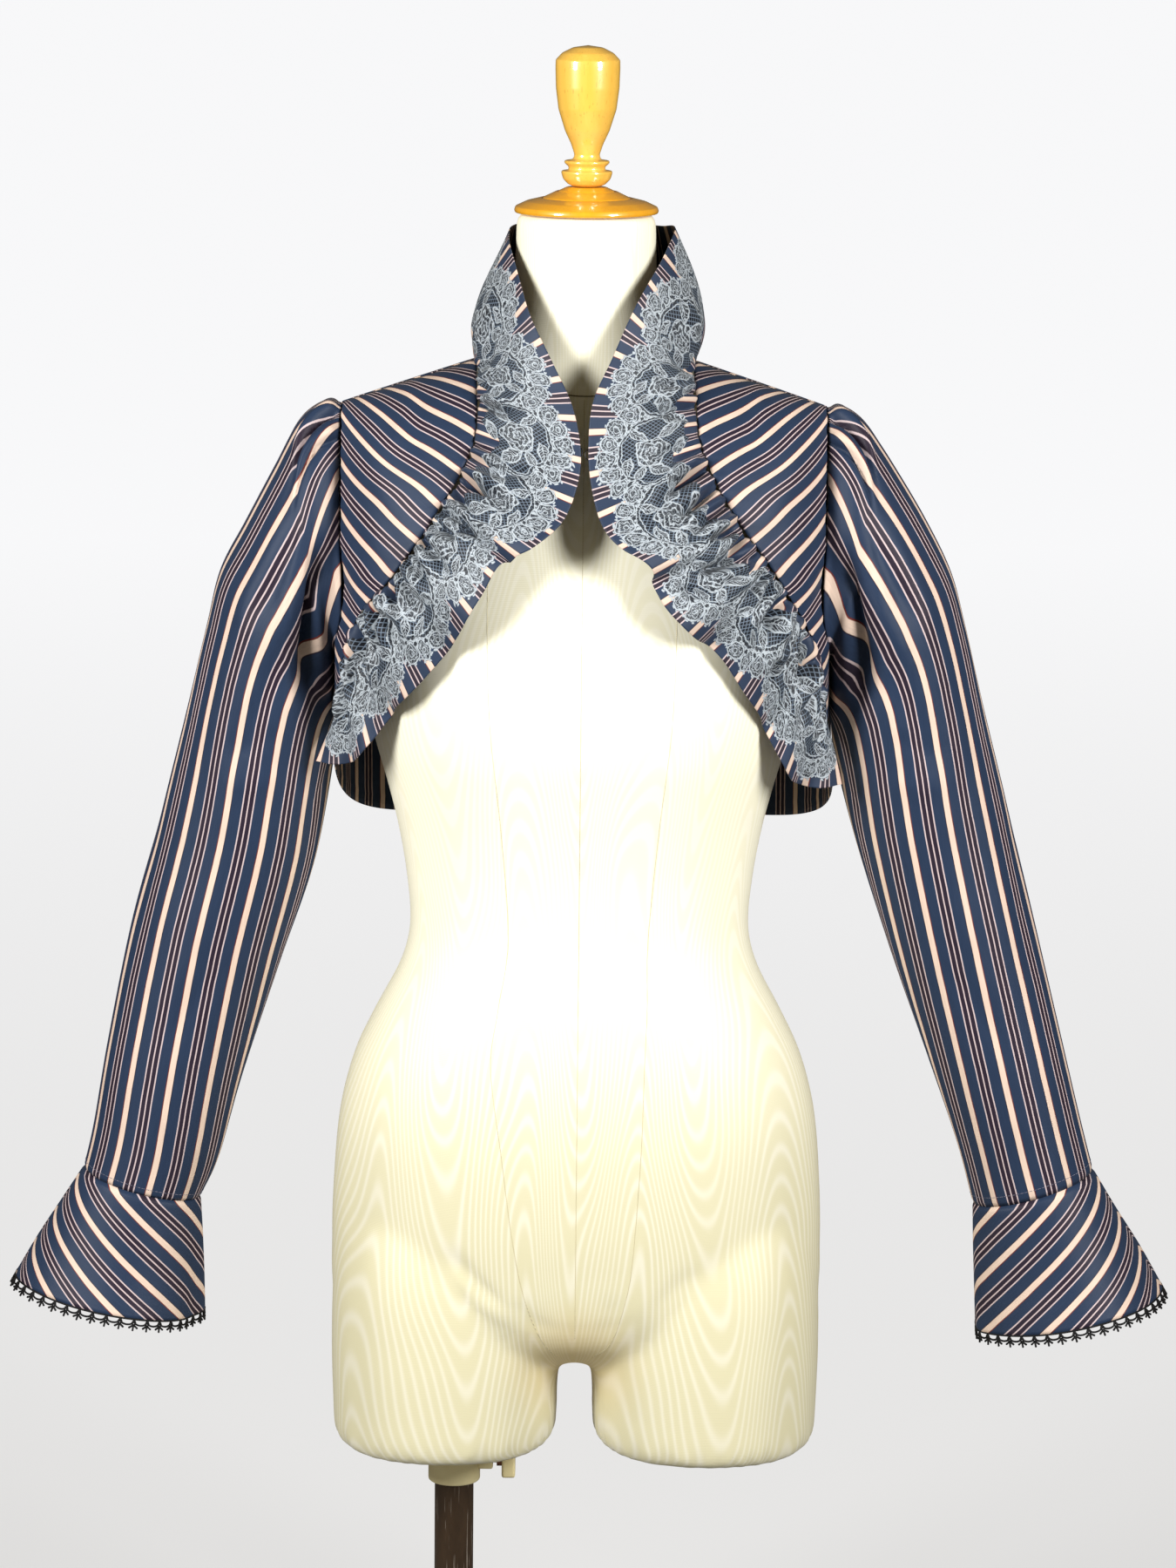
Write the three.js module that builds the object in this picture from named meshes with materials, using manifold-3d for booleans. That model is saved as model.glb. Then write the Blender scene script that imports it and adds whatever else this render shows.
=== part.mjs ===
// A cropped bolero jacket with a gathered stand-up frill and flared cuffs, worn by a limbless
// dress form on a round-based pole. Millimetres, +Z up, the form faces -Y, its middle is x = 0.
import * as THREE from "three";
import { mergeVertices } from "three/addons/utils/BufferGeometryUtils.js";
import Module from "manifold-3d";

const wasm = await Module();
wasm.setup();

// ---- driving dimensions -------------------------------------------------------------------------
const cloth = { wall: 1.2, gap: 0.3, shoulderGap: 0.25, armholeStep: 1.5, frillStep: 1.4 };

// garment body: half width, depth of the chest and of the back, and its landmark heights
const bodice = {
  half: 166, chest: 124, back: 108, square: 2.5,
  neckHalf: 72, neckBack: 61, neckRise: 6, neckZ: 1124, shoulderSlope: 1 / 3,
  chestFullMiddle: 900, chestFullSide: 990, backFull: 1040,
  armholeTopZ: 1094, underarmZ: 930, frontEndZ: 886,
  hemMiddleZ: 797, hemLeftZ: 850, hemRightZ: 836, flareRight: 0.035,
};

// armhole: how far out the seam lies at each height
const armhole = [
  { z: 926, x: 166 }, { z: 930, x: 166 }, { z: 940, x: 163.5 }, { z: 955, x: 160.5 },
  { z: 975, x: 159.5 }, { z: 1000, x: 160 }, { z: 1040, x: 161 }, { z: 1094, x: 162 },
];

// dress form: horizontal sections, front and back depth measured from the middle plane
const formSections = [
  { z: 1221.5, half: 46.5, front: 47, back: 46 },
  { z: 1190, half: 47, front: 48, back: 47 },
  { z: 1160, half: 49, front: 50, back: 49 },
  { z: 1138, half: 54, front: 53, back: 52 },
  { z: 1124, half: 64, front: 53, back: 56 },
  { z: 1114, half: 88, front: 53, back: 62 },
  { z: 1104.5, half: 116, front: 56, back: 70 },
  { z: 1095, half: 142, front: 60, back: 76 },
  { z: 1079, half: 153, front: 68, back: 83 },
  { z: 1050, half: 156, front: 79, back: 92 },
  { z: 1010, half: 155, front: 94, back: 99 },
  { z: 960, half: 151, front: 110, back: 99 },
  { z: 905, half: 146, front: 117, back: 93 },
  { z: 870, half: 139.5, front: 113, back: 88 },
  { z: 840, half: 131, front: 104, back: 83 },
  { z: 810, half: 123.5, front: 95, back: 79 },
  { z: 775, half: 117.5, front: 87, back: 76 },
  { z: 739, half: 115, front: 84, back: 76 },
  { z: 712, half: 121.5, front: 87, back: 83 },
  { z: 680, half: 138, front: 92, back: 96 },
  { z: 650, half: 152, front: 95, back: 106 },
  { z: 612, half: 162, front: 96, back: 114 },
  { z: 565, half: 166.5, front: 94, back: 117 },
  { z: 520, half: 168, front: 91, back: 114 },
  { z: 480, half: 166, front: 85, back: 104 },
  { z: 455, half: 150, front: 70, back: 84 },
  { z: 440, half: 110, front: 40, back: 48 },
];
const form = { square: 2.3, neckSquare: 2.0 };

// thighs: both the same, mirrored
const thighSections = [
  { z: 560, half: 70, front: 70, back: 88 },
  { z: 500, half: 77, front: 83, back: 100 },
  { z: 450, half: 78.5, front: 86, back: 97 },
  { z: 405, half: 77.5, front: 85.5, back: 92 },
  { z: 384, half: 76, front: 84, back: 90 },
  { z: 378, half: 72, front: 80, back: 86 },
];
const thigh = { middleX: 89.5 };

// wooden neck cap and knob, turned: radius at each height
const neckCap = [
  { r: 47.4, z: 1221.9 }, { r: 48, z: 1223.5 }, { r: 47.2, z: 1226 }, { r: 30.3, z: 1231.6 },
  { r: 29.3, z: 1230.9 }, { r: 19.8, z: 1236.4 }, { r: 18.8, z: 1235.8 }, { r: 13, z: 1239 },
];
const knob = [
  { r: 9, z: 1239.3 }, { r: 12.5, z: 1240.8 }, { r: 15.8, z: 1244.2 }, { r: 17, z: 1248.5 },
  { r: 16.6, z: 1249.6 }, { r: 12.3, z: 1250.2 }, { r: 12.1, z: 1252.2 }, { r: 15, z: 1254.8 },
  { r: 14.8, z: 1256.3 }, { r: 9.3, z: 1257.2 }, { r: 8.3, z: 1260 }, { r: 10.6, z: 1267 },
  { r: 14.8, z: 1276 }, { r: 19.2, z: 1290 }, { r: 21, z: 1306 }, { r: 21.2, z: 1316 },
  { r: 20.8, z: 1321.5 }, { r: 17.5, z: 1326.5 }, { r: 10, z: 1330.6 },
];
const knobTop = 1332;

// stand: the pole runs up inside the thigh on the wearer's right
const stand = {
  poleX: -83, poleRadius: 13.5, poleTop: 573, poleFoot: 10, boreTop: 575, boreStart: 300, boreRadius: 14,
  baseRadius: 172, baseThick: 9, baseRim: 3, baseFoot: 1, clear: 0.4, poleTip: 1.5,
};
const hub = { foot: 30, top: 19, step: 3, shoulder: 20, height: 36, chamfer: 4, sunk: 2 };
const socket = {
  radius: 18, chamfer: 2.5, bottom: 343, top: 377.7,
  earReach: 27, earDepth: 7, earTop: 364, earBottom: 352, earRoot: 2,
};
const screw = {
  z: 358, radius: 3, hole: 3.4, tip: 14.1, collar: 5.2, collarStart: 29.5,
  wingStart: 33, wingEnd: 42.4, wingHalf: 12, wingDepth: 8, wingCorner: 4,
};
const around = { form: 30, thigh: 22, base: 48, turned: 24, small: 16, sleeve: 28, cuff: 28 };

// sleeves: outer and inner outline of each section, and its half depth
const sleeveLeft = [
  { outX: 176, outZ: 1093, inX: 168.4, inZ: 927, depth: 53 },
  { outX: 192, outZ: 1078, inX: 168.6, inZ: 923, depth: 56 },
  { outX: 206, outZ: 1052, inX: 168.8, inZ: 919, depth: 57 },
  { outX: 226, outZ: 1014, inX: 169, inZ: 911, depth: 57 },
  { outX: 243, outZ: 981, inX: 169, inZ: 901, depth: 56 },
  { outX: 252, outZ: 944, inX: 169.5, inZ: 886, depth: 54 },
  { outX: 264, outZ: 893, inX: 170, inZ: 853, depth: 50 },
  { outX: 284, outZ: 813, inX: 180, inZ: 784, depth: 44 },
  { outX: 304, outZ: 739, inX: 204, inZ: 711, depth: 40 },
  { outX: 321, outZ: 655, inX: 230, inZ: 631, depth: 38 },
  { outX: 331, outZ: 597, inX: 246, inZ: 574, depth: 37 },
  { outX: 338, outZ: 566, inX: 259, inZ: 545, depth: 37 },
];
const sleeveRight = [
  { outX: 177, outZ: 1092, inX: 168.4, inZ: 927, depth: 53 },
  { outX: 193, outZ: 1076, inX: 168.6, inZ: 923, depth: 56 },
  { outX: 210, outZ: 1051, inX: 169, inZ: 919, depth: 57 },
  { outX: 230, outZ: 1018, inX: 170, inZ: 911, depth: 57 },
  { outX: 247, outZ: 984, inX: 171, inZ: 901, depth: 56 },
  { outX: 257, outZ: 949, inX: 172, inZ: 886, depth: 54 },
  { outX: 269, outZ: 900, inX: 175, inZ: 856, depth: 50 },
  { outX: 289, outZ: 824, inX: 188, inZ: 799, depth: 44 },
  { outX: 308, outZ: 750, inX: 212, inZ: 725, depth: 40 },
  { outX: 327, outZ: 675, inX: 239, inZ: 651, depth: 38 },
  { outX: 343, outZ: 612, inX: 261, inZ: 589, depth: 37 },
  { outX: 354, outZ: 571, inX: 273, inZ: 546, depth: 37 },
];
const cuffLeft = [
  { outX: 338.6, outZ: 565, inX: 258.9, inZ: 543.9, depth: 37.4 },
  { outX: 354, outZ: 541, inX: 257.5, inZ: 518, depth: 43 },
  { outX: 370, outZ: 516, inX: 256.5, inZ: 490, depth: 50 },
  { outX: 385, outZ: 490, inX: 256, inZ: 464, depth: 59 },
];
const cuffRight = [
  { outX: 354.6, outZ: 570, inX: 273, inZ: 544.9, depth: 37.4 },
  { outX: 371, outZ: 543, inX: 274, inZ: 517, depth: 43 },
  { outX: 389, outZ: 515, inX: 275.5, inZ: 488, depth: 50 },
  { outX: 405, outZ: 487, inX: 277, inZ: 459, depth: 59 },
];
const cuffLace = { wall: 1, drop: 8, step: 0.35 };
const capPleat = { lift: 2.4, spread: 50 };

// frills, from the side seam up the front to the side of the neck: seam point, free edge point
// and how far the width bellies out between them
const frillLeft = [
  { seamX: 164, seamZ: 886, edgeX: 177, edgeY: -43, edgeZ: 858, belly: 3 },
  { seamX: 162.5, seamZ: 905, edgeX: 163, edgeY: -54, edgeZ: 858, belly: 5 },
  { seamX: 160, seamZ: 923, edgeX: 150, edgeY: -65, edgeZ: 863, belly: 7 },
  { seamX: 156, seamZ: 943, edgeX: 137, edgeY: -74, edgeZ: 878, belly: 5 },
  { seamX: 149, seamZ: 959, edgeX: 126, edgeY: -86, edgeZ: 898, belly: 6 },
  { seamX: 139, seamZ: 974, edgeX: 112, edgeY: -98, edgeZ: 914, belly: 7 },
  { seamX: 127, seamZ: 988, edgeX: 96, edgeY: -111, edgeZ: 934, belly: 8 },
  { seamX: 115, seamZ: 1005, edgeX: 80, edgeY: -122, edgeZ: 957, belly: 8 },
  { seamX: 104, seamZ: 1020, edgeX: 66, edgeY: -130, edgeZ: 982, belly: 8 },
  { seamX: 94, seamZ: 1036, edgeX: 52, edgeY: -134, edgeZ: 1008, belly: 8 },
  { seamX: 85, seamZ: 1050, edgeX: 33, edgeY: -131, edgeZ: 1014, belly: 8 },
  { seamX: 78, seamZ: 1063, edgeX: 14, edgeY: -121, edgeZ: 1031, belly: 8 },
  { seamX: 73, seamZ: 1075, edgeX: 4, edgeY: -107, edgeZ: 1054, belly: 8 },
  { seamX: 71, seamZ: 1088, edgeX: 2, edgeY: -97, edgeZ: 1076, belly: 9 },
  { seamX: 70.5, seamZ: 1101, edgeX: 8, edgeY: -89, edgeZ: 1104, belly: 10 },
  { seamX: 71, seamZ: 1112, edgeX: 21, edgeY: -79, edgeZ: 1130, belly: 10 },
  { seamX: 71.5, seamZ: 1120, edgeX: 35, edgeY: -62, edgeZ: 1160, belly: 10 },
];
const frillRight = [
  { seamX: 164, seamZ: 886, edgeX: 175, edgeY: -43, edgeZ: 846, belly: 3 },
  { seamX: 162.5, seamZ: 904, edgeX: 157, edgeY: -57, edgeZ: 846, belly: 6 },
  { seamX: 160, seamZ: 921, edgeX: 140, edgeY: -67, edgeZ: 853, belly: 8 },
  { seamX: 156, seamZ: 938, edgeX: 129, edgeY: -76, edgeZ: 873, belly: 8 },
  { seamX: 150, seamZ: 955, edgeX: 119, edgeY: -86, edgeZ: 897, belly: 6 },
  { seamX: 139, seamZ: 974, edgeX: 105, edgeY: -98, edgeZ: 919, belly: 7 },
  { seamX: 129, seamZ: 991, edgeX: 90, edgeY: -111, edgeZ: 943, belly: 8 },
  { seamX: 119, seamZ: 1006, edgeX: 70, edgeY: -123, edgeZ: 960, belly: 8 },
  { seamX: 109, seamZ: 1019, edgeX: 52, edgeY: -131, edgeZ: 981, belly: 8 },
  { seamX: 100, seamZ: 1032, edgeX: 45, edgeY: -134, edgeZ: 1003, belly: 8 },
  { seamX: 91, seamZ: 1046, edgeX: 27, edgeY: -130, edgeZ: 1014, belly: 8 },
  { seamX: 83, seamZ: 1062, edgeX: 13, edgeY: -122, edgeZ: 1029, belly: 8 },
  { seamX: 78, seamZ: 1074, edgeX: 5, edgeY: -107, edgeZ: 1054, belly: 8 },
  { seamX: 75, seamZ: 1086, edgeX: 3, edgeY: -97, edgeZ: 1080, belly: 9 },
  { seamX: 74, seamZ: 1101, edgeX: 6, edgeY: -88, edgeZ: 1108, belly: 10 },
  { seamX: 73, seamZ: 1112, edgeX: 20, edgeY: -77, edgeZ: 1137, belly: 11 },
  { seamX: 72.5, seamZ: 1120, edgeX: 34, edgeY: -58, edgeZ: 1168, belly: 12 },
];
// the collar stretch of the frill, by the angle round the neck behind its side
const collarLeft = [
  { turn: 2, edgeX: 47, edgeY: -33, edgeZ: 1192, belly: 11 },
  { turn: 20, edgeX: 53, edgeY: -4, edgeZ: 1207, belly: 11 },
  { turn: 45, edgeX: 48, edgeY: 25, edgeZ: 1211, belly: 9 },
  { turn: 67, edgeX: 29, edgeY: 46, edgeZ: 1210, belly: 8 },
  { turn: 89.6, edgeX: 0.4, edgeY: 56, edgeZ: 1209, belly: 8 },
];
const collarRight = [
  { turn: 2, edgeX: 49, edgeY: -29, edgeZ: 1194, belly: 14 },
  { turn: 20, edgeX: 59, edgeY: 0, edgeZ: 1212, belly: 13 },
  { turn: 45, edgeX: 51, edgeY: 28, edgeZ: 1212, belly: 9 },
  { turn: 67, edgeX: 30, edgeY: 47, edgeZ: 1210, belly: 8 },
  { turn: 89.6, edgeX: 0.4, edgeY: 56, edgeZ: 1209, belly: 8 },
];
const frill = {
  waves: 8, waveDepth: 4.5, gathers: 22, gatherDepth: 1.1, gatherReach: 0.35, heldReach: 0.07,
  aside: 0.15, forward: 130,
};
const grid = {
  frontAcross: 8, frontDown: 16, frontCrowd: 1.4, backAcross: 20, backDown: 12,
  frillAcross: 5, frillAlong: 52,
};
const fastener = {
  wire: 0.9, loop: 3, reach: 6, tip: 0.5, leftPlace: 0.615, rightPlace: 0.6065, inset: 0.94,
  tilt: 0.36, lift: 0.4,
};

// ---- small helpers ------------------------------------------------------------------------------
const { lerp, clamp, degToRad } = THREE.MathUtils;

// value of one column where another column reaches "at", smooth between rows
function readTable(rows, by, at, column) {
  const sorted = [...rows].sort((a, b) => a[by] - b[by]);
  const last = sorted.length - 1;
  const t = clamp(at, sorted[0][by], sorted[last][by]);
  let i = 0;
  while (i < last - 1 && sorted[i + 1][by] < t) i += 1;
  const [a, b] = [sorted[i], sorted[i + 1]];
  const before = sorted[Math.max(i - 1, 0)];
  const after = sorted[Math.min(i + 2, last)];
  const span = b[by] - a[by];
  const f = (t - a[by]) / span;
  const slopeA = ((b[column] - before[column]) / (b[by] - before[by])) * span;
  const slopeB = ((after[column] - a[column]) / (after[by] - a[by])) * span;
  const rise = b[column] - a[column];
  const bend = (1 - f) * (slopeA - rise) - f * (slopeB - rise);
  return a[column] + rise * f + f * (1 - f) * bend;
}

// a row of a table at a place between its first (0) and last (1) row
function readRow(rows, place) {
  const counted = rows.map((row, index) => ({ ...row, index }));
  const at = place * (rows.length - 1);
  const read = {};
  for (const column of Object.keys(rows[0])) read[column] = readTable(counted, "index", at, column);
  return read;
}

function bareGeometry(geometry) {
  geometry.deleteAttribute("normal");
  geometry.deleteAttribute("uv");
  return mergeVertices(geometry, 1e-4);
}

function signedVolume(geometry) {
  const { array } = geometry.getAttribute("position");
  const index = geometry.getIndex().array;
  const corner = (k) => new THREE.Vector3().fromArray(array, index[k] * 3);
  let sum = 0;
  for (let k = 0; k < index.length; k += 3) sum += corner(k).dot(corner(k + 1).cross(corner(k + 2)));
  return sum / 6;
}

function facingOut(geometry) {
  if (signedVolume(geometry) > 0) return geometry;
  const index = geometry.getIndex();
  for (let k = 0; k < index.count; k += 3) {
    const second = index.getX(k + 1);
    index.setX(k + 1, index.getX(k + 2));
    index.setX(k + 2, second);
  }
  return geometry;
}

function mapVertices(geometry, place) {
  const position = geometry.getAttribute("position");
  const point = new THREE.Vector3();
  for (let i = 0; i < position.count; i += 1) {
    point.fromBufferAttribute(position, i);
    const moved = place(point);
    position.setXYZ(i, moved.x, moved.y, moved.z);
  }
  return facingOut(geometry);
}

function surfaceNormal(surface, u, v) {
  const step = 0.002;
  const low = (t) => Math.max(t - step, 0);
  const high = (t) => Math.min(t + step, 1);
  const along = surface(high(u), v).sub(surface(low(u), v));
  const down = surface(u, high(v)).sub(surface(u, low(v)));
  return along.cross(down).normalize();
}

// an open sheet of cloth given as surface(u, v), thickened evenly to both sides
function sheetWall(surface, across, down, wall = cloth.wall) {
  const block = bareGeometry(new THREE.BoxGeometry(1, 1, 1, across, down, 1));
  return mapVertices(block, (p) => {
    const [u, v] = [p.x + 0.5, p.y + 0.5];
    return surface(u, v).addScaledVector(surfaceNormal(surface, u, v), p.z * wall);
  });
}

// a tube of cloth, open at both ends; u runs round it and v along it
function tubeWall(surface, round, along, wall = cloth.wall) {
  const profile = [];
  for (let i = 0; i <= along; i += 1) profile.push(new THREE.Vector2(2, i / along));
  for (let i = along; i >= 0; i -= 1) profile.push(new THREE.Vector2(1, i / along));
  profile.push(new THREE.Vector2(2, 0));
  const ring = bareGeometry(new THREE.LatheGeometry(profile, round));
  const wrapped = (u, v) => surface(u - Math.floor(u), clamp(v, 0, 1));
  const normal = (u, v) => {
    const step = 0.002;
    const turn = wrapped(u + step, v).sub(wrapped(u - step, v));
    const run = wrapped(u, Math.min(v + step, 1)).sub(wrapped(u, Math.max(v - step, 0)));
    return turn.cross(run).normalize();
  };
  return mapVertices(ring, (p) => {
    const u = (Math.atan2(p.x, p.z) / (2 * Math.PI) + 1) % 1;
    const side = Math.hypot(p.x, p.z) - 1.5;
    return wrapped(u, p.y).addScaledVector(normal(u, p.y), side * wall);
  });
}

function turned(profile, x = 0, y = 0, round = around.turned) {
  const points = profile.map(({ r, z }) => new THREE.Vector2(r, z));
  const lathe = new THREE.LatheGeometry(points, round);
  lathe.rotateX(Math.PI / 2);
  lathe.translate(x, y, 0);
  return facingOut(bareGeometry(lathe));
}

// a closed body through horizontal sections, flat at both ends
function lofted(sections, outline, round) {
  const rows = sections.length - 1;
  const tube = bareGeometry(new THREE.CylinderGeometry(1, 1, rows, round, rows));
  return mapVertices(tube, (p) => {
    const section = sections[Math.round(rows / 2 - p.y)];
    const reach = Math.hypot(p.x, p.z);
    const turn = Math.atan2(p.z, p.x);
    return outline(section, turn, reach);
  });
}

function toSolid(geometry) {
  return new wasm.Manifold(new wasm.Mesh({
    numProp: 3,
    vertProperties: new Float32Array(geometry.getAttribute("position").array),
    triVerts: new Uint32Array(geometry.getIndex().array),
  }));
}

function toGeometry(solid) {
  const mesh = solid.getMesh();
  const geometry = new THREE.BufferGeometry();
  geometry.setAttribute("position", new THREE.BufferAttribute(mesh.vertProperties, 3));
  geometry.setIndex(new THREE.BufferAttribute(mesh.triVerts, 1));
  return geometry;
}

// ---- dress form ---------------------------------------------------------------------------------
const rounded = (value, square) => Math.sign(value) * Math.abs(value) ** (2 / square);

function sectionOutline(middleX, squareAt) {
  return (section, turn, reach) => {
    const square = squareAt(section);
    const x = rounded(Math.cos(turn), square) * section.half;
    const depth = Math.sin(turn) < 0 ? section.front : section.back;
    const y = rounded(Math.sin(turn), square) * depth;
    return new THREE.Vector3(middleX + x * reach, y * reach, section.z);
  };
}

function torso() {
  const squareAt = (section) => (section.z > bodice.neckZ - 20 ? form.neckSquare : form.square);
  const trunk = lofted(formSections, sectionOutline(0, squareAt), around.form);
  const legs = [-1, 1].map((side) => {
    const middle = side * thigh.middleX;
    return lofted(thighSections, sectionOutline(middle, () => form.square), around.thigh);
  });
  const boreLength = stand.boreTop - stand.boreStart;
  const bore = new THREE.CylinderGeometry(stand.boreRadius, stand.boreRadius, boreLength, around.turned);
  bore.rotateX(Math.PI / 2);
  bore.translate(stand.poleX, 0, stand.boreTop - boreLength / 2);
  const whole = toSolid(trunk).add(toSolid(legs[0])).add(toSolid(legs[1]));
  return toGeometry(whole.subtract(toSolid(bareGeometry(bore))));
}

const capBody = () => turned([{ r: 0, z: neckCap[0].z }, ...neckCap, { r: 0, z: neckCap.at(-1).z }]);
const knobBody = () => turned([{ r: 0, z: knob[0].z }, ...knob, { r: 0, z: knobTop }], 0, 0, 24);

// ---- stand --------------------------------------------------------------------------------------
function standBase() {
  const { baseRadius, baseThick, baseRim, baseFoot, poleX, poleRadius, poleFoot, clear } = stand;
  const disc = turned([
    { r: 0, z: 0 }, { r: baseRadius - baseFoot, z: 0 }, { r: baseRadius, z: baseFoot },
    { r: baseRadius, z: baseThick - baseRim }, { r: baseRadius - baseRim, z: baseThick },
    { r: 0, z: baseThick },
  ], 0, 0, around.base);
  const boss = turned([
    { r: 0, z: baseThick - hub.sunk }, { r: hub.foot, z: baseThick - hub.sunk },
    { r: hub.foot, z: baseThick + hub.step }, { r: hub.shoulder, z: hub.height - hub.chamfer },
    { r: hub.top, z: hub.height }, { r: 0, z: hub.height },
  ], poleX);
  const bore = new THREE.CylinderGeometry(poleRadius + clear, poleRadius + clear, hub.height, around.turned);
  bore.rotateX(Math.PI / 2);
  bore.translate(poleX, 0, poleFoot - cloth.gap + hub.height / 2);
  return toGeometry(toSolid(disc).add(toSolid(boss)).subtract(toSolid(bareGeometry(bore))));
}

function standPole() {
  const { poleX, poleRadius, poleFoot, poleTop, poleTip } = stand;
  return turned([
    { r: 0, z: poleFoot }, { r: poleRadius, z: poleFoot }, { r: poleRadius, z: poleTop - poleTip },
    { r: poleRadius - poleTip, z: poleTop }, { r: 0, z: poleTop },
  ], poleX);
}

function standSocket() {
  const { radius, chamfer, bottom, top, earReach, earDepth, earTop, earBottom, earRoot } = socket;
  const sleeve = turned([
    { r: stand.boreRadius, z: bottom }, { r: radius - chamfer, z: bottom },
    { r: radius, z: bottom + chamfer },
    { r: radius, z: top }, { r: stand.boreRadius, z: top }, { r: stand.boreRadius, z: bottom },
  ], stand.poleX);
  const start = radius - earRoot;
  const ear = new THREE.BoxGeometry(earReach - start, earDepth * 2, earTop - earBottom);
  ear.translate(stand.poleX + (start + earReach) / 2, 0, (earTop + earBottom) / 2);
  const holeLength = earReach * 2;
  const hole = new THREE.CylinderGeometry(screw.hole, screw.hole, holeLength, around.small);
  hole.rotateZ(Math.PI / 2);
  hole.translate(stand.poleX + holeLength / 2, 0, screw.z);
  const joined = toSolid(sleeve).add(toSolid(bareGeometry(ear)));
  return toGeometry(joined.subtract(toSolid(bareGeometry(hole))));
}

function standScrew() {
  const { radius, tip, collar, collarStart, wingStart, wingEnd, wingHalf, wingDepth, wingCorner, z } = screw;
  const rod = (size, from, to) => {
    const cylinder = new THREE.CylinderGeometry(size, size, to - from, around.small);
    cylinder.rotateZ(Math.PI / 2);
    cylinder.translate(stand.poleX + (from + to) / 2, 0, z);
    return toSolid(bareGeometry(cylinder));
  };
  const outline = new THREE.Shape([
    [wingDepth, wingHalf - wingCorner], [wingDepth - wingCorner, wingHalf],
    [wingCorner - wingDepth, wingHalf], [-wingDepth, wingHalf - wingCorner],
    [-wingDepth, wingCorner - wingHalf], [wingCorner - wingDepth, -wingHalf],
    [wingDepth - wingCorner, -wingHalf], [wingDepth, wingCorner - wingHalf],
  ].map(([y, up]) => new THREE.Vector2(up, y)));
  const wing = new THREE.ExtrudeGeometry(outline, { depth: wingEnd - wingStart, bevelEnabled: false });
  wing.rotateY(Math.PI / 2);
  wing.translate(stand.poleX + wingStart, 0, z);
  const stem = rod(radius, tip, collarStart + 1).add(rod(collar, collarStart, wingStart + 1));
  return toGeometry(stem.add(toSolid(bareGeometry(wing))));
}

// ---- garment body -------------------------------------------------------------------------------
function shoulderZ(x) {
  const out = Math.max(Math.abs(x) - bodice.neckHalf, 0);
  return bodice.neckZ - out * bodice.shoulderSlope;
}

const halfAngle = (x) => Math.asin(Math.min(x / bodice.half, 1) ** (bodice.square / 2));
const widthAt = (angle) => bodice.half * Math.sin(angle) ** (2 / bodice.square);
const fullness = (angle) => Math.max(Math.cos(angle), 0) ** (2 / bodice.square);
const armholeX = (z) => readTable(armhole, "z", z, "x");

// depth of the chest at a place: a quarter curve from the shoulder down to the fullest height
function chestY(x, z) {
  const angle = halfAngle(Math.abs(x));
  const full = bodice.chest * fullness(angle);
  const fullZ = lerp(bodice.chestFullMiddle, bodice.chestFullSide, clamp((Math.abs(x) - 60) / 100, 0, 1));
  const topZ = shoulderZ(x);
  if (z >= topZ) return 0;
  if (z >= fullZ) return -full * Math.sqrt(1 - ((z - fullZ) / (topZ - fullZ)) ** 2);
  return -full * (1 - 0.1 * ((fullZ - z) / 120) ** 1.5);
}

function backTop(x) {
  const inside = Math.min(Math.abs(x) / bodice.neckHalf, 1);
  const round = Math.sqrt(1 - inside ** 2);
  return { y: bodice.neckBack * round, z: shoulderZ(x) + bodice.neckRise * round };
}

// where the frill's seam crosses a height, found by halving along the chest stretch of its rows
function seamX(rows, z) {
  let [low, high] = [0, rows.findIndex((row) => row.forward === 0) / (rows.length - 1)];
  for (let round = 0; round < 14; round += 1) {
    const middle = (low + high) / 2;
    if (readRow(rows, middle).seamZ < z) low = middle;
    else high = middle;
  }
  return readRow(rows, low).seamX;
}

function frontPanel(side, rows) {
  const bottom = bodice.frontEndZ;
  const xAt = (u, z) => widthAt(lerp(halfAngle(seamX(rows, z)), halfAngle(armholeX(z)), u));
  return (u, v) => {
    let topZ = bodice.neckZ;
    for (let round = 0; round < 5; round += 1) topZ = shoulderZ(xAt(u, topZ));
    const z = lerp(topZ, bottom, v ** grid.frontCrowd);
    const x = xAt(u, z);
    return new THREE.Vector3(side * x, Math.min(chestY(x, z), 0) - cloth.shoulderGap, z);
  };
}

function backPanel(u, v) {
  const across = 2 * u - 1;
  const spread = Math.abs(across);
  const topAngle = halfAngle(armholeX(bodice.armholeTopZ)) * spread;
  const top = backTop(widthAt(topAngle));
  const hem = lerp(bodice.hemMiddleZ, across < 0 ? bodice.hemLeftZ : bodice.hemRightZ, spread ** 4);
  const turnShare = 0.4;
  const turn = Math.min(v / turnShare, 1) * (Math.PI / 2);
  const rest = Math.max(v - turnShare, 0) / (1 - turnShare);
  const z = v < turnShare ? lerp(bodice.backFull, top.z, Math.cos(turn)) : lerp(bodice.backFull, hem, rest);
  const angle = halfAngle(armholeX(z)) * spread;
  const depth = bodice.back * fullness(angle);
  const y = lerp(top.y, depth, Math.sin(turn));
  const drop = clamp((bodice.underarmZ - z) / (bodice.underarmZ - bodice.hemMiddleZ), 0, 1);
  const flare = across < 0 ? 0 : bodice.flareRight * drop ** 1.5;
  return new THREE.Vector3(Math.sign(across) * widthAt(angle) * (1 + flare), y + cloth.shoulderGap, z);
}

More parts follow.
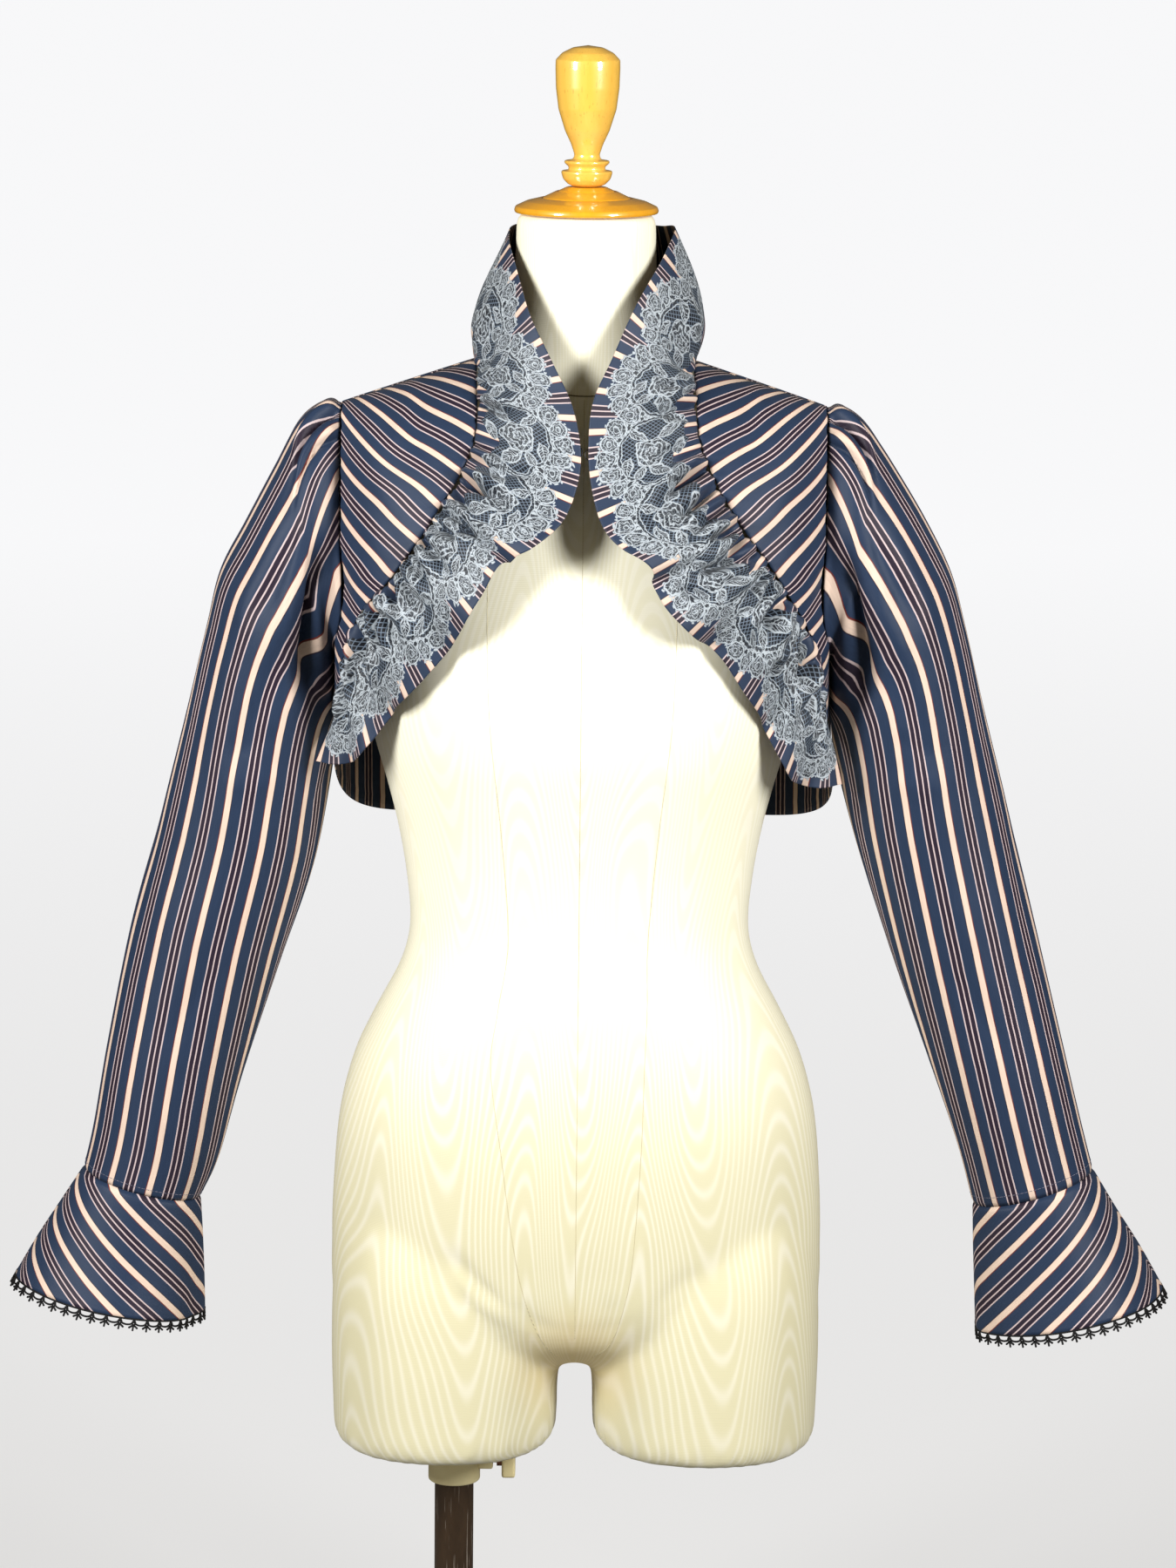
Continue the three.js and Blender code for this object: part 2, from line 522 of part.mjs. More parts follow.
// ---- sleeves and cuffs --------------------------------------------------------------------------
// a point of the armhole seam, turn running from the shoulder forward, down and up the back
function armholePoint(turn) {
  const { armholeTopZ, underarmZ, backFull } = bodice;
  const middle = (armholeTopZ + underarmZ) / 2;
  const z = middle + (armholeTopZ - middle) * Math.cos(turn);
  const x = armholeX(z);
  const front = Math.sin(turn) > 0;
  const depth = bodice.back * fullness(halfAngle(x));
  const blend = clamp((z - backFull) / (armholeTopZ - backFull), 0, 1);
  const y = front ? chestY(x, z) : depth * Math.sqrt(1 - blend ** 2);
  return new THREE.Vector3(x + cloth.armholeStep, y, z);
}

function ringPoint(row, turn) {
  const across = (1 - Math.cos(turn)) / 2;
  return new THREE.Vector3(
    lerp(row.outX, row.inX, across),
    -row.depth * Math.sin(turn),
    lerp(row.outZ, row.inZ, across),
  );
}

function sleeve(side, rows) {
  const steps = rows.length;
  return (u, v) => {
    const turn = u * 2 * Math.PI;
    const place = v * steps;
    const ring = Math.max(place - 1, 0) / (steps - 1);
    const point = ringPoint(readRow(rows, ring), turn);
    if (place < 1) point.lerpVectors(armholePoint(turn), point, place);
    const fromTop = Math.min(u, 1 - u) * 360;
    const fade = Math.max(1 - fromTop / capPleat.spread, 0) * Math.max(1 - Math.abs(place - 1) / 2, 0);
    const pleat = capPleat.lift * fade * Math.cos(u * around.sleeve * Math.PI);
    return new THREE.Vector3(side * (point.x + pleat), point.y, point.z + pleat);
  };
}

function cuff(side, rows) {
  return (u, v) => {
    const point = ringPoint(readRow(rows, v), u * 2 * Math.PI);
    return new THREE.Vector3(side * point.x, point.y, point.z);
  };
}

// the lace band carries the cuff's last slope on past its hem
function laceBand(side, rows) {
  const shape = cuff(side, rows);
  return (u, v) => {
    const hem = shape(u, 1);
    const slope = hem.clone().sub(shape(u, 0.9)).normalize();
    return hem.addScaledVector(slope, cuffLace.step + v * cuffLace.drop);
  };
}

// ---- frills -------------------------------------------------------------------------------------
function frillRows(rows, collar) {
  const chest = rows.map((row) => ({
    seamX: row.seamX, seamY: chestY(row.seamX, row.seamZ) - cloth.shoulderGap, seamZ: row.seamZ,
    edgeX: row.edgeX, edgeY: row.edgeY, edgeZ: row.edgeZ, belly: row.belly,
    aside: frill.aside, forward: frill.forward,
  }));
  const neck = collar.map(({ turn, edgeX, edgeY, edgeZ, belly }) => ({
    seamX: bodice.neckHalf * Math.cos(degToRad(turn)),
    seamY: bodice.neckBack * Math.sin(degToRad(turn)) + cloth.shoulderGap,
    seamZ: bodice.neckZ + bodice.neckRise * Math.sin(degToRad(turn)),
    edgeX, edgeY, edgeZ, belly, aside: 1, forward: 0,
  }));
  return [...chest, ...neck];
}

function frillPanel(side, rows) {
  const flat = (along, across) => {
    const row = readRow(rows, along);
    const seam = new THREE.Vector3(row.seamX, row.seamY, row.seamZ);
    const edge = new THREE.Vector3(row.edgeX, row.edgeY, row.edgeZ);
    const out = new THREE.Vector3(seam.x * row.aside, seam.y - row.forward, 0).normalize();
    const reach = edge.sub(seam);
    const start = cloth.frillStep / reach.length();
    return seam.addScaledVector(reach, lerp(start, 1, across))
      .addScaledVector(out, row.belly * Math.sin(Math.PI * across ** 0.8));
  };
  return (u, v) => {
    const point = flat(u, v);
    const normal = surfaceNormal(flat, u, v);
    const held = clamp(Math.abs(u - fastener.leftPlace) / frill.heldReach, 0, 1) ** 2;
    const wave = held * frill.waveDepth * v ** 1.5 * Math.sin(u * frill.waves * 2 * Math.PI + side);
    const near = Math.max(1 - Math.abs(v - frill.gatherReach) / frill.gatherReach, 0);
    const gather = frill.gatherDepth * near * Math.sin(u * frill.gathers * 2 * Math.PI);
    const ends = Math.min(u * 10, (1 - u) * 10, 1);
    point.addScaledVector(normal, (wave + gather) * ends);
    return new THREE.Vector3(side * point.x, point.y, point.z);
  };
}

// ---- hook and eye -------------------------------------------------------------------------------
// a bent wire loop behind the frill's edge, made from the frill's own points moved inwards
function wireLoop(side, surface) {
  const { wire, loop, reach, tip, leftPlace, rightPlace, inset, tilt, lift } = fastener;
  const place = side < 0 ? leftPlace : rightPlace;
  const seat = surface(place, inset);
  const inwards = surfaceNormal(surface, place, inset);
  if (inwards.y < 0) inwards.negate();
  seat.addScaledVector(inwards, cloth.wall / 2 + wire / 2 + lift);
  const shape = [[reach, -1], [2.4, -0.9], [0.8, -0.5], [0.2, 0], [0.8, 0.5], [2.4, 0.9], [reach, 1]];
  const path = new THREE.CatmullRomCurve3(shape.map(([out, up]) => (
    new THREE.Vector3(side * (tip + out), seat.y + up * loop * tilt, seat.z + up * loop)
  )));
  const section = new THREE.Shape();
  section.absarc(0, 0, wire / 2, 0, 2 * Math.PI);
  const options = { steps: 12, curveSegments: 3, extrudePath: path, bevelEnabled: false };
  return facingOut(bareGeometry(new THREE.ExtrudeGeometry(section, options)));
}

// ---- finishes and assembly ----------------------------------------------------------------------
const finishes = {
  stripe: { color: 0x3d4766, roughness: 0.6, metalness: 0 },
  lace: { color: 0x8fa0b3, roughness: 0.65, metalness: 0 },
  edging: { color: 0x141316, roughness: 0.8, metalness: 0 },
  cover: { color: 0xe9e4c0, roughness: 0.55, metalness: 0 },
  wood: { color: 0xd98f2e, roughness: 0.25, metalness: 0 },
  plastic: { color: 0xefe6c4, roughness: 0.4, metalness: 0 },
  pole: { color: 0x3a2d26, roughness: 0.45, metalness: 0.6 },
  base: { color: 0x2e2825, roughness: 0.5, metalness: 0.5 },
  wire: { color: 0x17171a, roughness: 0.35, metalness: 0.8 },
};

const group = new THREE.Group();

function addMesh(name, geometry, finish) {
  const mesh = new THREE.Mesh(geometry, new THREE.MeshStandardMaterial(finishes[finish]));
  mesh.name = name;
  group.add(mesh);
}

addMesh("form_torso", torso(), "cover");
addMesh("neck_cap", capBody(), "wood");
addMesh("knob", knobBody(), "wood");
addMesh("stand_base", standBase(), "base");
addMesh("stand_pole", standPole(), "pole");
addMesh("stand_socket", standSocket(), "plastic");
addMesh("stand_screw", standScrew(), "plastic");
addMesh("back", sheetWall(backPanel, grid.backAcross, grid.backDown), "stripe");

const sides = [
  {
    name: "left", side: -1, sleeveRows: sleeveLeft, cuffRows: cuffLeft,
    frillTable: frillLeft, collar: collarLeft,
  },
  {
    name: "right", side: 1, sleeveRows: sleeveRight, cuffRows: cuffRight,
    frillTable: frillRight, collar: collarRight,
  },
];
for (const { name, side, sleeveRows, cuffRows, frillTable, collar } of sides) {
  const rows = frillRows(frillTable, collar);
  const frillSurface = frillPanel(side, rows);
  addMesh(`front_${name}`, sheetWall(frontPanel(side, rows), grid.frontAcross, grid.frontDown), "stripe");
  addMesh(`frill_${name}`, sheetWall(frillSurface, grid.frillAlong, grid.frillAcross), "lace");
  addMesh(`sleeve_${name}`, tubeWall(sleeve(side, sleeveRows), around.sleeve, sleeveRows.length), "stripe");
  addMesh(`cuff_${name}`, tubeWall(cuff(side, cuffRows), around.cuff, cuffRows.length - 1), "stripe");
  addMesh(`cuff_lace_${name}`, tubeWall(laceBand(side, cuffRows), around.cuff, 1, cuffLace.wall), "edging");
  addMesh(side < 0 ? "eye" : "hook", wireLoop(side, frillSurface), "wire");
}

export default group;
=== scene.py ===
import math

import bmesh
import bpy
import numpy as np
from mathutils import Matrix, Vector
from mathutils.bvhtree import BVHTree


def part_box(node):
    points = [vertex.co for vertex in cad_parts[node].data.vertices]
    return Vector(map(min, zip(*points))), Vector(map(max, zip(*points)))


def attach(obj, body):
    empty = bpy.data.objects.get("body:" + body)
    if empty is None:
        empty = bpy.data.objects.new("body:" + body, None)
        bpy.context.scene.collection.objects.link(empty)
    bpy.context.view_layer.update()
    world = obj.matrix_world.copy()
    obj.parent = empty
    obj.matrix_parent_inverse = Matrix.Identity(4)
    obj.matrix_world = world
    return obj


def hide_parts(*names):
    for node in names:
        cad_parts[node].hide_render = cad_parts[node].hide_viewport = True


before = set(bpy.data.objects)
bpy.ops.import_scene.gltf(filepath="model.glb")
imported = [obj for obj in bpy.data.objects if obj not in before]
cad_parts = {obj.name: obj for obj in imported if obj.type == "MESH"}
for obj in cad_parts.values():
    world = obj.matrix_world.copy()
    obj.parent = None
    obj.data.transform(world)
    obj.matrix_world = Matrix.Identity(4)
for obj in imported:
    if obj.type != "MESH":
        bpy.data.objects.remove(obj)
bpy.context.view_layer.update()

mm = 0.001  # every size below is in millimetres unless its note says otherwise
fullTurn = 2 * math.pi
scene = bpy.context.scene


# tables and smooth reading between their rows

def table(columns, *rows):
    names = columns.split()
    return {name: np.array([row[k] for row in rows], float) for k, name in enumerate(names)}


def readTable(rows, by, at, column):
    order = np.argsort(rows[by])
    keys, values = rows[by][order], rows[column][order]
    last = len(keys) - 1
    at = np.clip(at, keys[0], keys[last])
    i = np.clip(np.searchsorted(keys, at) - 1, 0, last - 1)
    before, after = np.maximum(i - 1, 0), np.minimum(i + 2, last)
    span = keys[i + 1] - keys[i]
    f = (at - keys[i]) / span
    slopeA = (values[i + 1] - values[before]) / (keys[i + 1] - keys[before]) * span
    slopeB = (values[after] - values[i]) / (keys[after] - keys[i]) * span
    rise = values[i + 1] - values[i]
    bend = (1 - f) * (slopeA - rise) - f * (slopeB - rise)
    return values[i] + rise * f + f * (1 - f) * bend


def readPlace(rows, place, column):  # place runs from 0 at the first row to 1 at the last
    count = len(rows[column])
    counted = {"index": np.arange(count, dtype=float), column: rows[column]}
    return readTable(counted, "index", np.asarray(place, float) * (count - 1), column)


def smoothStep(value, low, high):
    t = np.clip((value - low) / (high - low), 0, 1)
    return t * t * (3 - 2 * t)


def hump(value, width):  # 1 at 0, falling softly to both sides
    return np.exp(-(value / width) ** 2)


def mix(a, b, share):
    return a + (b - a) * share


# meshes made from a grid whose points are moved to a surface

def normalsOf(points, wrap=False):
    across = np.gradient(points, axis=0)
    along = np.gradient(points, axis=1)
    if wrap:
        across[0] = across[-1] = (points[1] - points[-2]) / 2
    normals = np.cross(across, along)
    return normals / (np.linalg.norm(normals, axis=2, keepdims=True) + 1e-9)


def facing(normals, away):  # normals turned to the side that away points to
    return normals * np.sign(np.sum(normals * away))


def tubeNormals(points):  # outwards from the middle of a closed tube
    return facing(normalsOf(points, wrap=True), points - points.mean(axis=0, keepdims=True))


def gridPlaces(across, along, start=0):  # where the points of a grid lie, up to 1 each way
    return np.linspace(start, 1, across + 1)[:, None], np.linspace(0, 1, along + 1)[None, :]


def arcLength(points, axis):  # distance run along one way of a grid, or along a path
    steps = np.linalg.norm(np.diff(points, axis=axis), axis=-1)
    total = np.cumsum(steps, axis=axis)
    return np.insert(total, 0, 0, axis=axis)


def pointAt(path, run, at):  # the place on a path after some distance
    return np.stack([np.interp(at, run, path[:, k]) for k in range(3)], axis=-1)


def sheetMesh(name, points, cloth, wrap=False, flip=False):
    across, along = points.shape[0] - 1, points.shape[1] - 1
    mesh = bmesh.new()
    uvLayer = mesh.loops.layers.uv.new("cloth")
    bmesh.ops.create_grid(mesh, x_segments=across, y_segments=along, size=0.5)
    spots = {}
    for vert in mesh.verts:
        spots[vert] = (round((vert.co.x + 0.5) * across), round((vert.co.y + 0.5) * along))
    for face in mesh.faces:
        for loop in face.loops:
            loop[uvLayer].uv = cloth[spots[loop.vert]] * mm
    for vert, spot in spots.items():
        vert.co = points[spot] * mm
    if flip:
        bmesh.ops.reverse_faces(mesh, faces=mesh.faces)
    if wrap:
        bmesh.ops.remove_doubles(mesh, verts=mesh.verts, dist=1e-6)
    return finishMesh(name, mesh, smooth=True)


def finishMesh(name, mesh, smooth=False):
    for face in mesh.faces:
        face.smooth = smooth
    data = bpy.data.meshes.new(name)
    mesh.to_mesh(data)
    mesh.free()
    piece = bpy.data.objects.new(name, data)
    scene.collection.objects.link(piece)
    return piece


def clothShell(piece, thickness, outside, inside):
    piece.data.materials.append(outside)
    piece.data.materials.append(inside)
    solid = piece.modifiers.new("cloth thickness", "SOLIDIFY")
    solid.thickness = thickness * mm
    solid.offset = 0
    solid.material_offset = 1


def cylinder(mesh, radius, length, matrix, segments=32):
    bmesh.ops.create_cone(
        mesh, cap_ends=True, segments=segments, radius1=radius * mm, radius2=radius * mm,
        depth=length * mm, matrix=matrix,
    )


def drill(piece, radius, length, matrix, segments=32):  # a round hole, cut after all other modifiers
    mesh = bmesh.new()
    cylinder(mesh, radius, length, matrix, segments)
    cutter = finishMesh("drill", mesh)
    cut = piece.modifiers.new("hole", "BOOLEAN")
    cut.object = cutter
    cut.solver = "EXACT"
    baked = bpy.data.meshes.new_from_object(piece.evaluated_get(bpy.context.evaluated_depsgraph_get()))
    piece.modifiers.clear()
    bpy.data.objects.remove(cutter)
    old, piece.data = piece.data, baked
    bpy.data.meshes.remove(old)


def placed(piece, body, slot, *nodes):
    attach(piece, body)
    if nodes:
        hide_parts(*nodes)
    return piece


# soft troughs and ridges, each laid from one cloth place to another
crease = {"waver": 0.5, "waverTurns": 4, "fadeIn": (-0.08, 0.3), "fadeOut": (-1.08, -0.6)}


def creaseField(cloth, creases):
    field = np.zeros(cloth.shape[:2])
    for x0, y0, x1, y1, width, height in creases:
        run = np.array([x1 - x0, y1 - y0], float)
        length = np.linalg.norm(run)
        away = cloth - np.array([x0, y0])
        along = (away @ run) / length ** 2
        aside = (away[..., 0] * run[1] - away[..., 1] * run[0]) / length
        aside = aside + width * crease["waver"] * np.sin(along * crease["waverTurns"] + x0)
        ends = smoothStep(along, *crease["fadeIn"]) * smoothStep(-along, *crease["fadeOut"])
        field += height * hump(aside, width) * ends
    return field


print("helpers ready")


# shader helpers

class Wire:  # a value in a node tree that adds Math nodes as it is reckoned with
    def __init__(self, tree, socket):
        self.tree = tree
        self.socket = socket

    def math(self, operation, *others):
        node = self.tree.nodes.new("ShaderNodeMath")
        node.operation = operation
        for slot, value in enumerate((self, *others)):
            if isinstance(value, Wire):
                self.tree.links.new(value.socket, node.inputs[slot])
            else:
                node.inputs[slot].default_value = value
        return Wire(self.tree, node.outputs[0])

    def __add__(self, other):
        return self.math("ADD", other)

    def __sub__(self, other):
        return self.math("SUBTRACT", other)

    def __mul__(self, other):
        return self.math("MULTIPLY", other)

    def __truediv__(self, other):
        return self.math("DIVIDE", other)

    def fract(self):
        return self.math("FRACT")

    def absolute(self):
        return self.math("ABSOLUTE")

    def sine(self):
        return self.math("SINE")

    def cosine(self):
        return self.math("COSINE")

    def power(self, other):
        return self.math("POWER", other)

    def most(self, other):
        return self.math("MAXIMUM", other)

    def centred(self, pitch):  # runs from -pitch/2 to pitch/2 over and over
        return ((self / pitch).fract() - 0.5) * pitch

    def under(self, limit, soft=0.1):  # 1 below the limit, 0 above it
        node = self.tree.nodes.new("ShaderNodeMapRange")
        node.interpolation_type = "SMOOTHSTEP"
        self.tree.links.new(self.socket, node.inputs["Value"])
        node.inputs["From Min"].default_value = limit - soft
        node.inputs["From Max"].default_value = limit + soft
        node.inputs["To Min"].default_value = 1
        node.inputs["To Max"].default_value = 0
        return Wire(self.tree, node.outputs["Result"])

    def line(self, width, soft=0.08):  # 1 where the value is near 0
        return self.absolute().under(width / 2, soft)


def distance(a, b):
    return (a * a + b * b).math("SQRT")


def colourMix(tree, first, second, share, blend="MIX"):
    node = tree.nodes.new("ShaderNodeMix")
    node.data_type = "RGBA"
    node.blend_type = blend
    for socket, value in ((node.inputs[0], share), (node.inputs[6], first), (node.inputs[7], second)):
        if isinstance(value, Wire):
            tree.links.new(value.socket, socket)
        elif isinstance(value, (int, float)):
            socket.default_value = value
        else:
            socket.default_value = (*value, 1)
    return Wire(tree, node.outputs[2])


def combined(tree, x, y, z=0.0):
    node = tree.nodes.new("ShaderNodeCombineXYZ")
    for slot, value in enumerate((x, y, z)):
        if isinstance(value, Wire):
            tree.links.new(value.socket, node.inputs[slot])
        else:
            node.inputs[slot].default_value = value
    return Wire(tree, node.outputs[0])


def separated(tree, vector):
    node = tree.nodes.new("ShaderNodeSeparateXYZ")
    tree.links.new(vector.socket, node.inputs[0])
    return [Wire(tree, node.outputs[k]) for k in range(3)]


def noiseAt(tree, vector, scale, detail=2.0, roughness=0.5):
    node = tree.nodes.new("ShaderNodeTexNoise")
    node.inputs["Scale"].default_value = scale
    node.inputs["Detail"].default_value = detail
    node.inputs["Roughness"].default_value = roughness
    tree.links.new(vector.socket, node.inputs["Vector"])
    return Wire(tree, node.outputs["Fac"])


def edgeDistance(tree, vector, scale):  # to the edges of irregular cells
    node = tree.nodes.new("ShaderNodeTexVoronoi")
    node.feature = "DISTANCE_TO_EDGE"
    node.inputs["Scale"].default_value = scale
    tree.links.new(vector.socket, node.inputs["Vector"])
    return Wire(tree, node.outputs["Distance"])


def newGroup(name, inputs, outputs):
    group = bpy.data.node_groups.new(name, "ShaderNodeTree")
    for label, kind in inputs:
        group.interface.new_socket(name=label, in_out="INPUT", socket_type=kind)
    for label, kind in outputs:
        group.interface.new_socket(name=label, in_out="OUTPUT", socket_type=kind)
    entry = group.nodes.new("NodeGroupInput")
    leave = group.nodes.new("NodeGroupOutput")
    taken = {label: Wire(group, entry.outputs[label]) for label, kind in inputs}
    return group, taken, leave


def giveOut(group, leave, **values):
    for label, value in values.items():
        group.links.new(value.socket, leave.inputs[label])


def useGroup(tree, group, **inputs):
    node = tree.nodes.new("ShaderNodeGroup")
    node.node_tree = group
    for label, value in inputs.items():
        if isinstance(value, Wire):
            tree.links.new(value.socket, node.inputs[label])
        else:
            node.inputs[label].default_value = value
    return {socket.name: Wire(tree, socket) for socket in node.outputs}


def newMaterial(name, roughness=0.5, metallic=0.0, **sockets):
    material = bpy.data.materials.new(name)
    material.use_nodes = True
    tree = material.node_tree
    shader = tree.nodes["Principled BSDF"]
    shader.inputs["Roughness"].default_value = roughness
    shader.inputs["Metallic"].default_value = metallic
    for label, value in sockets.items():
        shader.inputs[label.replace("_", " ")].default_value = value
    return material, tree, shader


def bumpInto(tree, shader, height, strength, depth):
    bump = tree.nodes.new("ShaderNodeBump")
    bump.inputs["Strength"].default_value = strength
    bump.inputs["Distance"].default_value = depth
    tree.links.new(height.socket, bump.inputs["Height"])
    tree.links.new(bump.outputs["Normal"], shader.inputs["Normal"])


def clothCoordinates(tree):
    node = tree.nodes.new("ShaderNodeUVMap")
    node.uv_map = "cloth"
    return Wire(tree, node.outputs["UV"])


def objectCoordinates(tree):
    node = tree.nodes.new("ShaderNodeTexCoord")
    return Wire(tree, node.outputs["Object"])


def srgb(red, green, blue):
    def linear(value):
        value /= 255
        return value / 12.92 if value <= 0.04045 else ((value + 0.055) / 1.055) ** 2.4
    return tuple(linear(value) for value in (red, green, blue))


# the striped cloth: one repeat, read across the stripes, widths in millimetres
stripes = {
    "cream": srgb(208, 185, 168),
    "rust": srgb(100, 40, 34),
    "navy": srgb(36, 49, 71),
    "plum": srgb(40, 32, 44),
    "thin": srgb(190, 172, 172),
    "repeat": [
        ("rust", 0.6), ("cream", 4.0), ("plum", 0.5), ("navy", 7.2), ("thin", 0.85), ("plum", 2.8),
        ("thin", 0.85), ("plum", 2.8), ("thin", 0.85), ("navy", 7.15),
    ],
    "softness": 0.12, "wobble": 0.5,
    # the threads of the weave, and how much they and the dye shade the cloth
    "threadAcross": 0.42, "threadAlong": 0.5, "threadSlant": 5.0,
    "weave": 0.05, "streaks": 0.34, "clouds": 0.3, "shade": 0.68,
}
stripePitch = sum(width for colour, width in stripes["repeat"])


def stripeGroup():
    group, taken, leave = newGroup(
        "striped cloth",
        [("Across", "NodeSocketFloat"), ("Along", "NodeSocketFloat")],
        [("Color", "NodeSocketColor"), ("Height", "NodeSocketFloat")],
    )
    across, along = taken["Across"] * 1000, taken["Along"] * 1000
    wobble = noiseAt(group, combined(group, across * 0.02, along * 0.05), 1.0) - 0.5
    place = ((across + wobble * stripes["wobble"]) / stripePitch).fract()
    ramp = group.nodes.new("ShaderNodeValToRGB")
    group.links.new(place.socket, ramp.inputs["Fac"])
    stops = ramp.color_ramp.elements
    reached = 0.0
    marks = []
    for colour, width in stripes["repeat"]:
        start, end = reached / stripePitch, (reached + width) / stripePitch
        soft = stripes["softness"] / stripePitch
        marks += [(start + soft, colour), (end - soft, colour)]
        reached += width
    stops[0].position, stops[0].color = marks[0][0], (*stripes[marks[0][1]], 1)
    stops[1].position, stops[1].color = marks[-1][0], (*stripes[marks[-1][1]], 1)
    for position, colour in marks[1:-1]:
        stop = stops.new(position)
        stop.color = (*stripes[colour], 1)
    # lengthwise threads and a slow change of depth of the dye
    streaks = noiseAt(group, combined(group, across * 1.6, along * 0.06), 1.0, 3.0)
    cloud = noiseAt(group, combined(group, across * 0.012, along * 0.012), 1.0, 2.0)
    shade = streaks * stripes["streaks"] + cloud * stripes["clouds"] + stripes["shade"]
    threadX = (across * (fullTurn / stripes["threadAcross"])).sine()
    threadY = (along * (fullTurn / stripes["threadAlong"]) + across * stripes["threadSlant"]).sine()
    weave = threadX * threadY
    bright = shade + weave * stripes["weave"]
    scaled = group.nodes.new("ShaderNodeVectorMath")
    scaled.operation = "SCALE"
    group.links.new(ramp.outputs["Color"], scaled.inputs[0])
    group.links.new(bright.socket, scaled.inputs["Scale"])
    giveOut(group, leave, Color=Wire(group, scaled.outputs[0]), Height=weave * 0.5 + streaks * 0.6)
    return group


stripedCloth = stripeGroup()


def turnedCoordinates(tree, vector, angle):  # the cloth turned under its pattern
    x, y = separated(tree, vector)[:2]
    cosine, sine = math.cos(angle), math.sin(angle)
    return x * cosine + y * sine, y * cosine - x * sine


def stripeMaterial(name, bias=0.0, shift=0.0, dark=1.0):
    material, tree, shader = newMaterial(
        name, roughness=0.46, Sheen_Weight=0.02, Sheen_Roughness=0.35, Specular_IOR_Level=0.14,
    )
    across, along = turnedCoordinates(tree, clothCoordinates(tree), math.radians(bias))
    across = across + shift * mm
    made = useGroup(tree, stripedCloth, Across=across, Along=along)
    colour = made["Color"]
    if dark != 1:
        colour = colourMix(tree, colour, (dark, dark * 0.94, dark * 0.85), 1.0, "MULTIPLY")
    tree.links.new(colour.socket, shader.inputs["Base Color"])
    bumpInto(tree, shader, made["Height"], 0.25, 0.00012)
    return material


# the printed lace: sizes in millimetres, measured on the flat cloth from its free edge
lace = {
    "period": 62.0, "radius": 45.0, "centre": 50.0, "driftAlong": 11.0, "driftInwards": 9.0,
    "petals": 13.6, "petalRadius": 7.0, "petalIn": 6.4, "petalCore": 1.9, "petalRing": 4.0,
    "petalRays": 5.8, "petalEdge": 0.7, "picotsOut": 0.6, "beadsIn": 15.0, "beadPitch": 2.1, "beadRims": 1.3,
    "net": 3.1, "netLine": 0.54, "netSlant": 0.8,
    "rose": 12.0, "roseIn": 43.0, "smallRose": 9.0, "smallRoseIn": 60.0,
    # leaves round the roses: place along and inwards, half length, half width, turn
    "leaves": [
        (19, 55, 11, 5, 0.9), (-18, 48, 10.5, 4.8, -0.8), (-16.5, 33, 7.5, 3.6, 0.6),
        (0, 64, 9.5, 4.6, 0.25), (-7, 25.5, 8, 3.4, 0.35), (16, 33, 8.5, 3.6, -0.9),
    ],
    "inner": 68.0, "scribble": 4.4,
    "ground": srgb(36, 46, 63), "light": srgb(174, 182, 188), "hole": srgb(8, 11, 20),
    "mesh": srgb(112, 126, 142),
}


def laceRose(x, y, radius, petals, turn, grain):
    reach = distance(x, y)
    angle = y.math("ARCTAN2", x)
    lobes = (angle * petals + turn).sine()
    edge = lobes * (radius * 0.1) + radius
    inside = (reach - edge).under(0, 0.25)
    swirl = reach / (radius * 0.29) + angle * (1 / fullTurn) + lobes * 0.22 + grain * 0.5
    rings = (swirl.fract() - 0.5).line(0.26, 0.1)
    spokes = ((angle * (petals * 1.5) + reach * 0.55 + turn).sine()).line(0.42, 0.24)
    rim = (reach - edge).line(0.9, 0.3)
    return inside, rings.most(spokes * 0.6), rim


def laceLeaf(x, y, length, width, turn):
    cosine, sine = math.cos(turn), math.sin(turn)
    along = x * cosine + y * sine
    aside = y * cosine - x * sine
    body = ((along / length) * (along / length) + (aside.absolute() / width))
    inside = body.under(1.0, 0.06)
    rim = (body - 1.0).line(0.26, 0.1)
    veins = ((aside.absolute() + along * 0.9).centred(2.2)).line(0.5, 0.2)
    return inside, veins.most(aside.line(0.5, 0.2)), rim


